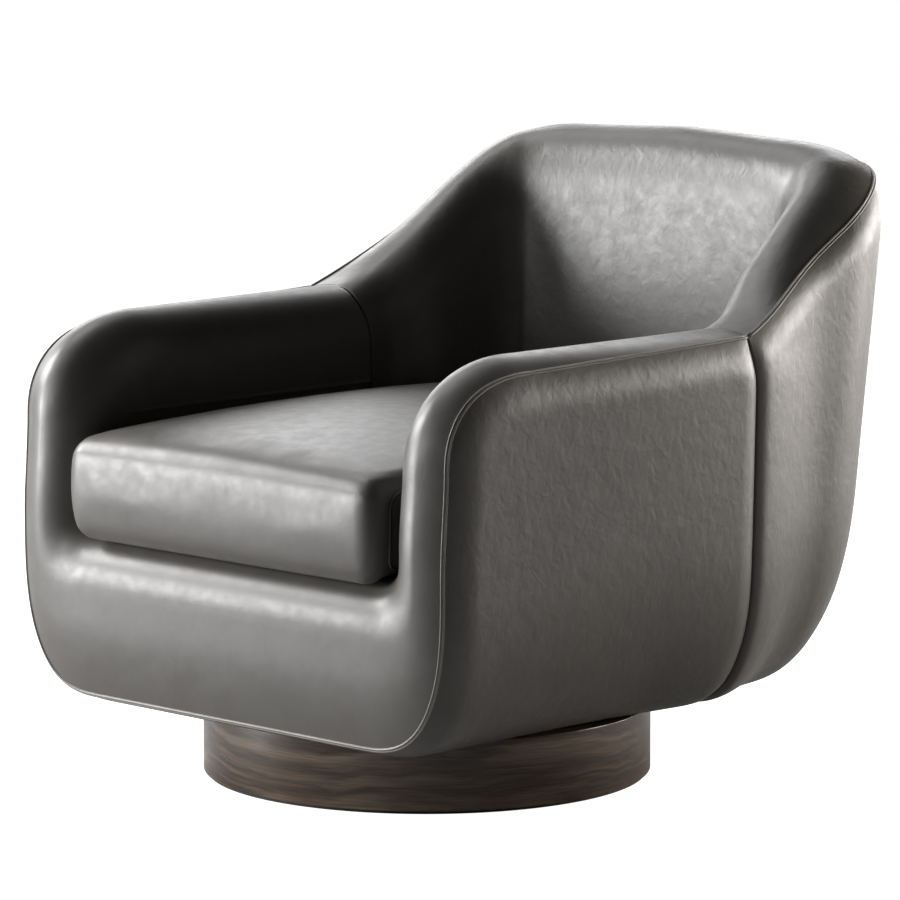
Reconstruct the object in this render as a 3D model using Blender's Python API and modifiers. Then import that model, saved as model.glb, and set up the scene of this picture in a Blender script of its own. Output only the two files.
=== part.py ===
"""Swivel accent chair: a padded tub on a round veneered plinth, with a loose seat cushion.

Units are metres. +Z is up, the sitter faces -Y, and the origin is where the swivel axis meets the floor.
The tub's covers are lofts: one function gives each covered surface, and the pads are layers of it.
"""

import math

import bmesh
import bpy
import numpy as np
from mathutils import Matrix, Vector

OBJECT_NAME = "swivel_accent_chair"

# Clearances
GAP = 0.0003
SEAM_GAP = 0.0004
FOAM_DRAW = 0.0022
COVER_GAP = 0.0005

# Sides of a large round piece
ROUND_SIDES = 60
RACE_SIDES = 36

# Plinth
PLINTH_RADIUS = 0.260
PLINTH_HEIGHT = 0.084
PLINTH_WALL = 0.018
PLINTH_EDGE_RADIUS = 0.003
FELT_THICKNESS = 0.003
FELT_INSET = 0.004
PLINTH_FLOOR_THICKNESS = 0.015
PLINTH_TOP_THICKNESS = 0.018
CORE_RADIUS = 0.205
CORE_WALL = 0.012

# Ball bearing between the plinth and the seat
RACE_RADIUS = 0.120
RACE_WIDTH = 0.046
RACE_THICKNESS = 0.0040
BALL_RADIUS = 0.0045
BALL_COUNT = 6
BALL_CLEARANCE = 0.00015
GROOVE_DEPTH = 0.0015
CAGE_WIDTH = 0.016
CAGE_THICKNESS = 0.0016
CAGE_HOLE_CLEARANCE = 0.0004
BEARING_HEIGHT = 2 * (RACE_THICKNESS + BALL_RADIUS - GROOVE_DEPTH + BALL_CLEARANCE)
SCREW_COUNT = 3
SCREW_SHANK_RADIUS = 0.0020
SCREW_HEAD_RADIUS = 0.0038
SCREW_HEAD_HEIGHT = 0.0018
SCREW_LENGTH = 0.012
SCREW_HOLE_CLEARANCE = 0.0002

# Tub, outer shell
SEAM_Y = -0.318
SEAM_LEAN = 0.006
SEAM_LEAN_START_Z = 0.30
SEAM_LEAN_RUN = 0.12
UNDERSIDE_GAP = 0.006
UNDERSIDE_Z = PLINTH_HEIGHT + UNDERSIDE_GAP
RIM_Z = 0.530
SIDE_HALF_FRONT = 0.353
SIDE_REAR_SPREAD = 0.013
SIDE_HALF_REAR = SIDE_HALF_FRONT + SIDE_REAR_SPREAD
SIDE_SPREAD_RUN = 0.42
SIDE_FLARE = 0.020
TUCK_START_FRONT = 0.285
TUCK_START_REAR = 0.330
TUCK_BLEND_RUN = 0.35
TUCK_WIDTH_FRONT = 0.140
TUCK_WIDTH_REAR = 0.135
TUCK_POWER_FRONT = 2.8
TUCK_POWER_REAR = 2.4
UNDERLAP = 0.003
BACK_END_LEVEL = 1.9
PILLOW_DEPTH = 0.013
PILLOW_REACH = 0.045
SIDE_SEAM_DEPTH = 0.006
SIDE_SEAM_REACH = 0.020
VALLEY_Y = 0.155

# Tub, back
BACK_Y = 0.485
BACK_REFERENCE_Z = 0.450
BACK_LEAN = 0.115
BACK_BOW = 0.008
BACK_CORNER_X = 0.145
BACK_CORNER_Y = 0.138
BACK_CORNER_POWER = 2.05
WING_DRAW_IN = 0.022
WING_DRAW_REACH = 0.090
WING_TAPER = 0.05

# Tub, rim
ARM_SEAM_FRONT_Z = 0.516
ARM_SEAM_REAR_Z = 0.523
ARM_TOP_FRONT_Z = 0.531
ARM_TOP_REAR_Z = 0.533
WING_SHOULDER_RUN = 0.27
WING_SHOULDER_Z = 0.666
WING_SHOULDER_SLOPE = 0.47
WING_START_SLOPE = 0.35
BACK_SEAM_RUN = 0.50
BACK_SEAM_Z = 0.692
BACK_CROWN = 0.028
WING_CROWN_RUN = 0.12
ARM_ROLL_DEPTH = 0.055
FRONT_ROLL_DEPTH = 0.035
ARM_THICKNESS = 0.083
ARM_INNER_X = SIDE_HALF_FRONT - PILLOW_DEPTH - ARM_THICKNESS
WING_THICKNESS = 0.106
WING_WIDEN_RUN = 0.20
WALL_LEAN = 0.028
WALL_LEAN_RUN = 0.10
BACK_TUCK_RUN = 0.10
ARM_FRONT_CORNER_Y = -0.205
ARM_FRONT_CORNER_Z = 0.415
ARM_FRONT_CORNER_POWER = 2.35
FRONT_CROWN = 0.013
RAIL_TOP_Z = 0.286
RAIL_CORNER_RADIUS = 0.036
ROLL_POWER = 2.2
BAND_WALL_DEPTH = 0.090
BAND_WALL_END_Y = SEAM_Y + BAND_WALL_DEPTH
BAND_WALL_END_Z = ARM_FRONT_CORNER_Z
WING_WALL_BELOW_RAIL = 0.016
WING_WALL_END_Z = RAIL_TOP_Z - WING_WALL_BELOW_RAIL

# Covers and padding
LEATHER = 0.0022
BAND_FOAM = 0.018
WING_FOAM = 0.020
PANEL_THICKNESS = 0.009
WELT_RADIUS = 0.0016
WELT_LIFT = 1.25
WELT_END_GAP = 0.004

# Loft steps of half the tub
PANEL_GRADING = 0.55
RAIL_STEPS = 2
RAIL_END_SHARE = 0.98
RAIL_CORNER_STEPS = 6
ARM_FRONT_STEPS = 2
ARM_CORNER_STEPS = 6
ARM_TOP_STEPS = 4
WING_STEPS = 12
FACE_STEPS = 4
ROLL_STEPS = 4
WING_WALL_STEPS = 2
LIP_STEPS = 2

# Seat deck and cushion
DECK_THICKNESS = 0.032
CUSHION_FRONT_Y = SEAM_Y - 0.020
CUSHION_REAR_CLEARANCE = 0.032
CUSHION_SIDE_CLEARANCE = 0.0015
CUSHION_EDGE_HEIGHT = 0.108
CUSHION_CROWN = 0.037
CUSHION_BELLY = 0.003
CUSHION_EDGE_RADIUS = 0.022
CUSHION_LOWER_DRAW = 0.012
CUSHION_LOWER_REACH = 0.060
CUSHION_CELLS_X = 12
CUSHION_CELLS_Y = 14
CUSHION_CELLS_Z = 6
BOXING_THICKNESS = 0.0030
ZIP_LENGTH = 0.300
SLIDER_LENGTH = 0.009
SLIDER_DEPTH = 0.0030
SLIDER_HEIGHT = 0.008

# Frame inside the tub
BOARD = 0.018
THIN_BOARD = 0.012
MOUNT_DISC_RADIUS = 0.188
MOUNT_DISC_THICKNESS = 0.015
CROSSBAR_HEIGHT = 0.026
CROSSBAR_WIDTH = 0.060
CROSSBAR_Y = 0.095
FRAME_INSET = 0.027
FRAME_SETBACK = 0.0040
PLATFORM_SETBACK = 0.012
PLATFORM_CLEARANCE = 0.007
SEAT_RAIL_OVERRUN = 0.045
REAR_RAIL_HALF_LENGTH = 0.190
SILL_HEIGHT = 0.046
SILL_RISE = 0.0125
STRAP_WIDTH = 0.070
STRAP_THICKNESS = 0.0016
STRAP_PITCH = 0.125
CROSS_STRAP_PITCH = 0.200
LONG_STRAP_COUNT = 3
CROSS_STRAP_COUNT = 2
SIDE_FRAME_LOW_Z = UNDERSIDE_Z + 0.060
ARM_FRAME_DROP = 0.019
ARM_FRAME_SETBACK = 0.065
ARM_FRAME_TOP_CUT = 0.030
ARM_FRAME_STEP = 0.004
WING_FRAME_START = 0.045
WING_FRAME_REACH = 0.145
WING_FRAME_DROP = 0.137
WING_FRAME_RISE = 0.050
WING_FRAME_TAPER = 0.035
WING_FRAME_HEEL = 0.014
INNER_ARM_PAD = 0.014
BACK_POST_WIDTH = 0.045
BACK_POST_DEPTH = 0.022
BACK_POST_PITCH = 0.140
BACK_RAIL_HEIGHT = 0.040
BACK_RAIL_SETBACK = 0.005
BACK_RAIL_DROP = 0.008
DUST_COVER_THICKNESS = 0.0008
DUST_COVER_INSET = 0.0055

# Screw circle on the races, outside the balls
SCREW_CIRCLE = RACE_RADIUS + RACE_WIDTH * 0.34


def clear_scene():
    """Remove every object and leave two collections: the chair's and its cutters'."""
    for thing in list(bpy.data.objects):
        bpy.data.objects.remove(thing, do_unlink=True)
    for name in (OBJECT_NAME, "cutters"):
        collection = bpy.data.collections.get(name) or bpy.data.collections.new(name)
        if name not in bpy.context.scene.collection.children:
            bpy.context.scene.collection.children.link(collection)


def make_material(name, color, roughness, metallic=0.0):
    material = bpy.data.materials.new(name)
    material.use_nodes = True
    shader = material.node_tree.nodes["Principled BSDF"]
    shader.inputs["Base Color"].default_value = (*color, 1.0)
    shader.inputs["Roughness"].default_value = roughness
    shader.inputs["Metallic"].default_value = metallic
    return material


clear_scene()
CHAIR = bpy.data.collections[OBJECT_NAME]
CUTTERS = bpy.data.collections["cutters"]
LEATHER_MATERIAL = make_material("taupe_leather", (0.105, 0.100, 0.094), 0.42)
WOOD_MATERIAL = make_material("smoked_veneer", (0.105, 0.078, 0.060), 0.50)
PLY_MATERIAL = make_material("plywood", (0.52, 0.38, 0.24), 0.65)
FOAM_MATERIAL = make_material("foam", (0.80, 0.74, 0.58), 0.90)
WEBBING_MATERIAL = make_material("webbing", (0.09, 0.08, 0.07), 0.85)
FELT_MATERIAL = make_material("felt", (0.05, 0.05, 0.05), 0.95)
STEEL_MATERIAL = make_material("zinc_steel", (0.60, 0.60, 0.58), 0.30, 1.0)


# Helpers for solids

def add_mesh_object(name, mesh, material, collection=None):
    thing = bpy.data.objects.new(name, mesh)
    (collection or CHAIR).objects.link(thing)
    if material is not None:
        mesh.materials.clear()
        mesh.materials.append(material)
    return thing


def mesh_from_bmesh(name, bm):
    bmesh.ops.recalc_face_normals(bm, faces=bm.faces)
    mesh = bpy.data.meshes.new(name)
    bm.to_mesh(mesh)
    bm.free()
    return mesh


def smooth_round(mesh, angle=40.0):
    mesh.shade_smooth()
    mesh.set_sharp_from_angle(angle=math.radians(angle))


def add_box(name, low, high, material, bevel=0.0, turn=None, pivot=None):
    """A box between two corners, with its edges bevelled, turned about a pivot if asked."""
    size = Vector(high) - Vector(low)
    centre = (Vector(high) + Vector(low)) / 2
    bm = bmesh.new()
    bmesh.ops.create_cube(bm, size=1.0)
    bmesh.ops.scale(bm, vec=size, verts=bm.verts)
    thing = add_mesh_object(name, mesh_from_bmesh(name, bm), material)
    thing.location = centre
    if turn is not None:
        swing = Matrix.Translation(Vector(pivot)) @ turn @ Matrix.Translation(-Vector(pivot))
        thing.matrix_world = swing @ Matrix.Translation(centre)
    if bevel > 0:
        modifier = thing.modifiers.new("Bevel", "BEVEL")
        modifier.width = bevel
        modifier.segments = 1
    return thing


def add_cylinder(name, radius, low_z, high_z, material, x=0.0, y=0.0, sides=ROUND_SIDES, collection=None):
    bm = bmesh.new()
    bmesh.ops.create_cone(bm, cap_ends=True, segments=sides, radius1=radius, radius2=radius,
                          depth=high_z - low_z)
    mesh = mesh_from_bmesh(name, bm)
    smooth_round(mesh)
    thing = add_mesh_object(name, mesh, material, collection)
    thing.location = (x, y, (low_z + high_z) / 2)
    return thing


def add_turned(name, profile, material, steps, x=0.0, y=0.0, z=0.0, closed=False):
    """A profile of (radius, height) points turned about a vertical axis with a Screw modifier."""
    bm = bmesh.new()
    points = [bm.verts.new((radius, 0.0, height)) for radius, height in profile]
    for first, second in zip(points, points[1:]):
        bm.edges.new((first, second))
    if closed:
        bm.edges.new((points[-1], points[0]))
    mesh = bpy.data.meshes.new(name)
    bm.to_mesh(mesh)
    bm.free()
    thing = add_mesh_object(name, mesh, material)
    thing.location = (x, y, z)
    screw = thing.modifiers.new("Screw", "SCREW")
    screw.axis = "Z"
    screw.steps = steps
    screw.render_steps = steps
    screw.use_merge_vertices = True
    screw.merge_threshold = 0.00001
    screw.use_smooth_shade = True
    return thing


def add_plate(name, outline, low_z, high_z, material, hole_radius=0.0):
    """A flat outline, given as (x, y) points, filled and extruded, with a round hole at the centre if asked."""
    curve = bpy.data.curves.new(name, "CURVE")
    curve.dimensions = "2D"
    curve.fill_mode = "BOTH"
    curve.extrude = (high_z - low_z) / 2
    borders = [outline]
    if hole_radius > 0:
        borders.append(list(ring_places(ROUND_SIDES, hole_radius / math.cos(math.pi / ROUND_SIDES))))
    for border in borders:
        spline = curve.splines.new("POLY")
        spline.points.add(len(border) - 1)
        for point, (x, y) in zip(spline.points, border):
            point.co = (x, y, 0.0, 1.0)
        spline.use_cyclic_u = True
    guide = bpy.data.objects.new(name + "_outline", curve)
    CHAIR.objects.link(guide)
    guide.location = (0, 0, (low_z + high_z) / 2)
    bpy.context.view_layer.update()
    return mesh_of_curve(name, guide, material)


def mesh_of_curve(name, guide, material):
    """Turn a curve object into a welded mesh object in its place."""
    evaluated = guide.evaluated_get(bpy.context.evaluated_depsgraph_get())
    mesh = bpy.data.meshes.new_from_object(evaluated)
    bm = bmesh.new()
    bm.from_mesh(mesh)
    bmesh.ops.remove_doubles(bm, verts=bm.verts, dist=0.00001)
    bmesh.ops.recalc_face_normals(bm, faces=bm.faces)
    bm.to_mesh(mesh)
    bm.free()
    mesh.name = name
    thing = add_mesh_object(name, mesh, material)
    thing.matrix_world = guide.matrix_world.copy()
    bpy.data.objects.remove(guide, do_unlink=True)
    return thing


def add_tube(name, points, radius, material, resolution=1):
    """A round cord along a list of points, with filled ends."""
    curve = bpy.data.curves.new(name, "CURVE")
    curve.dimensions = "3D"
    curve.bevel_depth = radius
    curve.bevel_resolution = resolution
    curve.use_fill_caps = True
    spline = curve.splines.new("POLY")
    spline.points.add(len(points) - 1)
    for point, place in zip(spline.points, points):
        point.co = (*place, 1.0)
    guide = bpy.data.objects.new(name + "_path", curve)
    CHAIR.objects.link(guide)
    bpy.context.view_layer.update()
    return mesh_of_curve(name, guide, material)


def cut(thing, cutter):
    cutter.hide_render = True
    cutter.display_type = "WIRE"
    modifier = thing.modifiers.new("Cut", "BOOLEAN")
    modifier.operation = "DIFFERENCE"
    modifier.solver = "EXACT"
    modifier.object = cutter


def ring_places(count, radius, start=0.0):
    """Evenly spaced (x, y) places on a circle."""
    for index in range(count):
        angle = start + 2 * math.pi * index / count
        yield radius * math.cos(angle), radius * math.sin(angle)


# The tub's surfaces

def ease(value):
    value = np.clip(value, 0.0, 1.0)
    return value * value * (3 - 2 * value)


def hermite(value, start, end, start_slope, end_slope, run):
    """A cubic from start to end over a run, with the slopes given at both ends."""
    share = np.clip(value / run, 0.0, 1.0)
    return ((2 * share**3 - 3 * share**2 + 1) * start + (share**3 - 2 * share**2 + share) * run * start_slope
            + (3 * share**2 - 2 * share**3) * end + (share**3 - share**2) * run * end_slope)


def girth(y, level):
    """Inset and height on the outer side: level 0 to 1 falls straight, 1 to 2 tucks under, then runs flat."""
    rear = ease((y - SEAM_Y) / TUCK_BLEND_RUN)
    start = TUCK_START_FRONT + (TUCK_START_REAR - TUCK_START_FRONT) * rear
    angle = np.clip(level - 1, 0.0, 1.0) * math.pi / 2
    front_inset = TUCK_WIDTH_FRONT * (1 - np.cos(angle) ** (2 / TUCK_POWER_FRONT))
    rear_inset = TUCK_WIDTH_REAR * (1 - np.cos(angle) ** (2 / TUCK_POWER_REAR))
    front_drop = np.sin(angle) ** (2 / TUCK_POWER_FRONT)
    rear_drop = np.sin(angle) ** (2 / TUCK_POWER_REAR)
    inset = front_inset + (rear_inset - front_inset) * rear + UNDERLAP * np.maximum(level - 2, 0.0)
    drop = front_drop + (rear_drop - front_drop) * rear
    straight = RIM_Z - (RIM_Z - start) * level
    height = np.where(level < 1, straight, start - (start - UNDERSIDE_Z) * drop)
    return inset, height


def girth_level(y, z):
    """The level of a height above the tuck."""
    start = TUCK_START_FRONT + (TUCK_START_REAR - TUCK_START_FRONT) * ease((y - SEAM_Y) / TUCK_BLEND_RUN)
    return (RIM_Z - z) / (RIM_Z - start)


def tuck_level(z):
    """The level of a height within the rear tuck."""
    drop = (TUCK_START_REAR - z) / (TUCK_START_REAR - UNDERSIDE_Z)
    return 1 + math.asin(drop ** (TUCK_POWER_REAR / 2)) * 2 / math.pi


def girth_normal(y, level, step=0.004):
    """Outward direction as (outward, upward) parts."""
    inset_above, height_above = girth(y, level - step)
    inset_below, height_below = girth(y, level + step)
    across = inset_below - inset_above
    down = height_above - height_below
    length = np.hypot(across, down)
    return down / length, -across / length


def side_half_width(y, z):
    share = ease((y - SEAM_Y) / SIDE_SPREAD_RUN)
    return SIDE_HALF_FRONT + (SIDE_REAR_SPREAD + SIDE_FLARE * (z - BACK_REFERENCE_Z)) * share


def side_point(y, level, sunk=0.0):
    """The outer side at +X, sunk below its surface by a depth."""
    inset, height = girth(y, level)
    outward, upward = girth_normal(y, level)
    x = side_half_width(y, height) - inset - sunk * outward
    return np.stack([x, y + 0 * x, height - sunk * upward], -1)


def back_plan(share, z):
    """Plan point and inward direction from the side seam (share 0) to the back's centre (share 1)."""
    half = side_half_width(np.float64(VALLEY_Y), z)
    back = BACK_Y + BACK_LEAN * (z - BACK_REFERENCE_Z)
    centre_x = half - BACK_CORNER_X
    centre_y = back - BACK_BOW - BACK_CORNER_Y
    turn_start, turn_end = 0.30, 0.72

    def place(value):
        side_y = VALLEY_Y + (centre_y - VALLEY_Y) * np.clip(value / turn_start, 0, 1)
        angle = np.clip((value - turn_start) / (turn_end - turn_start), 0, 1) * math.pi / 2
        corner_x = centre_x + BACK_CORNER_X * np.cos(angle) ** (2 / BACK_CORNER_POWER)
        corner_y = centre_y + BACK_CORNER_Y * np.sin(angle) ** (2 / BACK_CORNER_POWER)
        rest = np.clip((value - turn_end) / (1 - turn_end), 0, 1)
        x = np.where(value < turn_start, half, np.where(value < turn_end, corner_x, centre_x * (1 - rest)))
        y = np.where(value < turn_start, side_y,
                     np.where(value < turn_end, corner_y, back - BACK_BOW * (1 - rest) ** 2))
        return x, y

    x, y = place(share)
    before_x, before_y = place(np.maximum(share - 0.002, 0))
    after_x, after_y = place(np.minimum(share + 0.002, 1))
    length = np.hypot(after_x - before_x, after_y - before_y)
    behind = np.maximum(y - VALLEY_Y, 0)
    drawn = WING_DRAW_IN * ease(behind / WING_DRAW_REACH) + WING_TAPER * behind
    return x * (1 - drawn / half), y, (before_y - after_y) / length, (after_x - before_x) / length


def back_run(share):
    """Distance along the back's plan from the side seam."""
    shares = np.linspace(0, 1, 201)
    x, y, _, _ = back_plan(shares, 0.6)
    runs = np.concatenate([[0.0], np.cumsum(np.hypot(np.diff(x), np.diff(y)))])
    return float(np.interp(share, shares, runs))


def back_point(share, level, sunk=0.0):
    """The outer back, sunk below its surface by a depth."""
    inset, height = girth(np.float64(VALLEY_Y), level)
    outward, upward = girth_normal(np.float64(VALLEY_Y), level)
    x, y, in_x, in_y = back_plan(share, height)
    inward = inset + sunk * outward
    return np.stack([x + in_x * inward, y + in_y * inward, height - sunk * upward], -1)


def back_seam_z(run):
    """Height of the seam along the wing and the top of the back."""
    rise = hermite(run, ARM_SEAM_REAR_Z, WING_SHOULDER_Z, WING_START_SLOPE, WING_SHOULDER_SLOPE,
                   WING_SHOULDER_RUN)
    top = hermite(run - WING_SHOULDER_RUN, WING_SHOULDER_Z, BACK_SEAM_Z, WING_SHOULDER_SLOPE, 0.0,
                  BACK_SEAM_RUN - WING_SHOULDER_RUN)
    return float(rise if run < WING_SHOULDER_RUN else top)


def rim_profile(roll_share, roll_depth, crown, reach, crown_share, wall_steps):
    """The rim's section: share across from the seam to the inner wall, and depth below the seam."""
    shares = []
    depths = []
    for index in range(FACE_STEPS):
        share = index / FACE_STEPS * (1 - roll_share)
        shares.append(share)
        depths.append(-crown * (1 - (1 - min(share / crown_share, 1.0)) ** 2))
    for index in range(ROLL_STEPS + 1):
        angle = index / ROLL_STEPS * math.pi / 2
        shares.append(1 - roll_share + roll_share * math.sin(angle) ** (2 / ROLL_POWER))
        depths.append(-crown + (roll_depth + crown) * (1 - max(math.cos(angle), 0.0) ** (2 / ROLL_POWER)))
    for index in range(1, wall_steps + 1):
        shares.append(1.0)
        depths.append(roll_depth + (reach - roll_depth) * index / wall_steps)
    return np.array(shares), np.array(depths)


def seam_lean(z):
    return SEAM_Y + SEAM_LEAN * float(ease((z - SEAM_LEAN_START_Z) / SEAM_LEAN_RUN))


def arm_top_section(y):
    """The rim across an arm's top, from the seam to the inner wall."""
    share = (y - ARM_FRONT_CORNER_Y) / (VALLEY_Y - ARM_FRONT_CORNER_Y)
    seam_z = ARM_SEAM_FRONT_Z + (ARM_SEAM_REAR_Z - ARM_SEAM_FRONT_Z) * share
    top_z = ARM_TOP_FRONT_Z + (ARM_TOP_REAR_Z - ARM_TOP_FRONT_Z) * share
    seam = side_point(np.float64(y), girth_level(y, seam_z), PILLOW_DEPTH)
    across, depth = rim_profile(0.50, ARM_ROLL_DEPTH, top_z - seam_z, seam_z - BAND_WALL_END_Z, 0.55, 1)
    section = np.empty((len(across), 3))
    section[:, 0] = seam[0] + (ARM_INNER_X - seam[0]) * across
    section[:, 1] = y
    section[:, 2] = seam[2] - depth
    return section


def front_sections():
    """Sections of the front rail, its corner and the arm's front, and each one's place on the side panel."""
    face = []
    rail_end = side_point(np.float64(SEAM_Y), np.float64(3.0), PILLOW_DEPTH)
    inner_end = (ARM_INNER_X - RAIL_CORNER_RADIUS) * RAIL_END_SHARE
    for index in range(RAIL_STEPS + 1):
        share = index / RAIL_STEPS
        seam = np.array([rail_end[0] * share, SEAM_Y, rail_end[2]])
        inner = np.array([inner_end * share, SEAM_Y, RAIL_TOP_Z])
        face.append((seam, inner, 0.0, None))
    for index in range(RAIL_CORNER_STEPS + 1):
        share = index / RAIL_CORNER_STEPS
        level = 2.0 - share
        angle = share * math.pi / 2
        seam = side_point(np.float64(SEAM_Y), np.float64(level), PILLOW_DEPTH)
        inner = np.array([ARM_INNER_X - RAIL_CORNER_RADIUS * (1 - math.sin(angle)), SEAM_Y,
                          RAIL_TOP_Z + RAIL_CORNER_RADIUS * (1 - math.cos(angle))])
        face.append((seam, inner, float(ease(share)), (SEAM_Y, level)))
    for index in range(1, ARM_FRONT_STEPS + 1):
        share = index / ARM_FRONT_STEPS
        seam_z = TUCK_START_FRONT + (ARM_FRONT_CORNER_Z - TUCK_START_FRONT) * share
        y = seam_lean(seam_z)
        level = float(girth_level(y, seam_z))
        seam = side_point(np.float64(y), np.float64(level), PILLOW_DEPTH)
        inner_z = RAIL_TOP_Z + RAIL_CORNER_RADIUS
        inner_z += (ARM_FRONT_CORNER_Z - inner_z) * share
        face.append((seam, np.array([ARM_INNER_X, y, inner_z]), 1.0, (y, level)))
    sections = []
    for seam, inner, arm_share, _ in face:
        reach = BAND_WALL_END_Y - seam[1]
        rail = rim_profile(0.17, FRONT_ROLL_DEPTH, FRONT_CROWN, reach, 0.25, 1)
        arm = rim_profile(0.45, FRONT_ROLL_DEPTH, FRONT_CROWN, reach, 0.50, 1)
        across = rail[0] + (arm[0] - rail[0]) * arm_share
        depth = rail[1] + (arm[1] - rail[1]) * arm_share
        sections.append(seam + (inner - seam) * across[:, None] + np.array([0.0, 1.0, 0.0]) * depth[:, None])
    return sections, [entry[3] for entry in face]


def front_band_half():
    """Sections of the band from the rail's centre to the valley at +X, with their side-panel places."""
    sections, places = front_sections()
    front = sections[-1]
    top = arm_top_section(ARM_FRONT_CORNER_Y)
    for index in range(1, ARM_CORNER_STEPS + 1):
        share = index / ARM_CORNER_STEPS
        angle = share * math.pi / 2
        forward = max(math.cos(angle), 0.0) ** (2 / ARM_FRONT_CORNER_POWER)
        upward = math.sin(angle) ** (2 / ARM_FRONT_CORNER_POWER)
        blend = float(ease(share))
        section = front + (top - front) * blend
        section[:, 1] = ARM_FRONT_CORNER_Y + (front[:, 1] - ARM_FRONT_CORNER_Y) * forward
        section[:, 2] = ARM_FRONT_CORNER_Z + (top[:, 2] - ARM_FRONT_CORNER_Z) * upward
        level = girth_level(section[0, 1], section[0, 2])
        seam = side_point(np.float64(section[0, 1]), np.float64(level), PILLOW_DEPTH)
        nearness = np.linspace(1.0, 0.0, len(section))
        section[:, 0] += (seam[0] - section[0, 0]) * nearness
        section[0] = seam
        sections.append(section)
        places.append((float(section[0, 1]), float(level)))
    for index in range(1, ARM_TOP_STEPS + 1):
        y = ARM_FRONT_CORNER_Y + (VALLEY_Y - ARM_FRONT_CORNER_Y) * index / ARM_TOP_STEPS
        section = arm_top_section(y)
        level = girth_level(y, ARM_SEAM_FRONT_Z + (ARM_SEAM_REAR_Z - ARM_SEAM_FRONT_Z) * index / ARM_TOP_STEPS)
        sections.append(section)
        places.append((y, float(level)))
    return np.array(sections), places


def wing_half():
    """Sections of the wing and back rim with their inner wall, from the valley to the back's centre."""
    sections = []
    for index in range(WING_STEPS + 1):
        share = index / WING_STEPS
        run = back_run(share)
        seam_z = back_seam_z(run)
        seam = back_point(np.float64(share), girth_level(VALLEY_Y, seam_z), PILLOW_DEPTH)
        _, _, in_x, in_y = back_plan(np.float64(share), seam_z)
        arm_width = sections[0][0, 0] - ARM_INNER_X if sections else seam[0] - ARM_INNER_X
        wide = arm_width + (WING_THICKNESS - arm_width) * float(ease(run / WING_WIDEN_RUN))
        crown = ARM_TOP_REAR_Z - ARM_SEAM_REAR_Z
        crown += (BACK_CROWN - crown) * float(ease(run / WING_CROWN_RUN))
        across, depth = rim_profile(0.50, ARM_ROLL_DEPTH, crown, seam[2] - WING_WALL_END_Z,
                                    0.55 + 0.05 * float(ease(run / WING_CROWN_RUN)), WING_WALL_STEPS)
        inward = across * wide + WALL_LEAN * np.clip(depth - ARM_ROLL_DEPTH, 0.0, None) * float(ease(run / WALL_LEAN_RUN))
        section = np.empty((len(across), 3))
        section[:, 0] = seam[0] + in_x * inward
        section[:, 1] = seam[1] + in_y * inward
        section[:, 2] = seam[2] - depth
        sections.append(section)
    return np.array(sections)


def graded(count):
    """Shares from 0 to 1 that start close together."""
    even = np.linspace(0, 1, count)
    return even * (1 - PANEL_GRADING + PANEL_GRADING * even)


def panel_levels(start):
    """Levels down a panel's rear edge: even down to the tuck, then one for each step of the tuck."""
    upper = np.linspace(start, 1.0, ARM_CORNER_STEPS // 2 + ARM_FRONT_STEPS + 1)
    tuck = np.linspace(1.0, 2.0, RAIL_CORNER_STEPS + 1)
    return np.concatenate([upper, tuck[1:], [3.0]])


def patch_between(top, bottom, left, right, upper_rows):
    """A Coons patch between four boundaries: the top's shape fades out over the upper rows."""
    across = graded(len(top))[None, :, None]
    down = ease(np.arange(len(left)) / upper_rows)[:, None, None]
    return ((1 - down) * top[None] + down * bottom[None] + (1 - across) * left[:, None]
            + across * right[:, None] - (1 - across) * (1 - down) * top[0] - across * (1 - down) * top[-1]
            - (1 - across) * down * bottom[0] - across * down * bottom[-1])


def distance_to_path(points, path):
    """Least distance from each point to a polyline."""
    least = np.full(points.shape[:-1], 9.0)
    for start, end in zip(path, path[1:]):
        along = end - start
        share = np.clip(((points - start) @ along) / max(float(along @ along), 1e-12), 0, 1)
        least = np.minimum(least, np.linalg.norm(points - start - share[..., None] * along, axis=-1))
    return least


def seam_sink(from_edge, from_side_seam):
    """How far a padded panel sinks towards its seams."""
    edge = PILLOW_DEPTH * np.clip(1 - from_edge / PILLOW_REACH, 0, 1) ** 2
    side = SIDE_SEAM_DEPTH * np.clip(1 - from_side_seam / SIDE_SEAM_REACH, 0, 1) ** 2
    return edge + side * (1 - edge / PILLOW_DEPTH)


def side_panel_grid(places):
    """The outer arm panel at +X, whose border follows the band's seam."""
    border = np.array([place for place in places if place is not None])
    middle = RAIL_CORNER_STEPS + ARM_FRONT_STEPS + ARM_CORNER_STEPS // 2
    top = border[middle:]
    left = np.vstack([border[:middle + 1][::-1], [SEAM_Y, 3.0]])
    levels = panel_levels(top[-1][1])
    right = np.stack([np.full(len(levels), VALLEY_Y), levels], 1)
    bottom = np.stack([SEAM_Y + (VALLEY_Y - SEAM_Y) * graded(len(top)), np.full(len(top), 3.0)], 1)
    domain = patch_between(top, bottom, left, right, ARM_CORNER_STEPS // 2 + ARM_FRONT_STEPS)
    y, level = domain[..., 0], domain[..., 1]
    bare = side_point(y, level)
    seam = np.vstack([side_point(np.float64(SEAM_Y), np.float64(3.0)), side_point(border[:, 0], border[:, 1])])
    return side_point(y, level, seam_sink(distance_to_path(bare, seam), VALLEY_Y - y))


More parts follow.
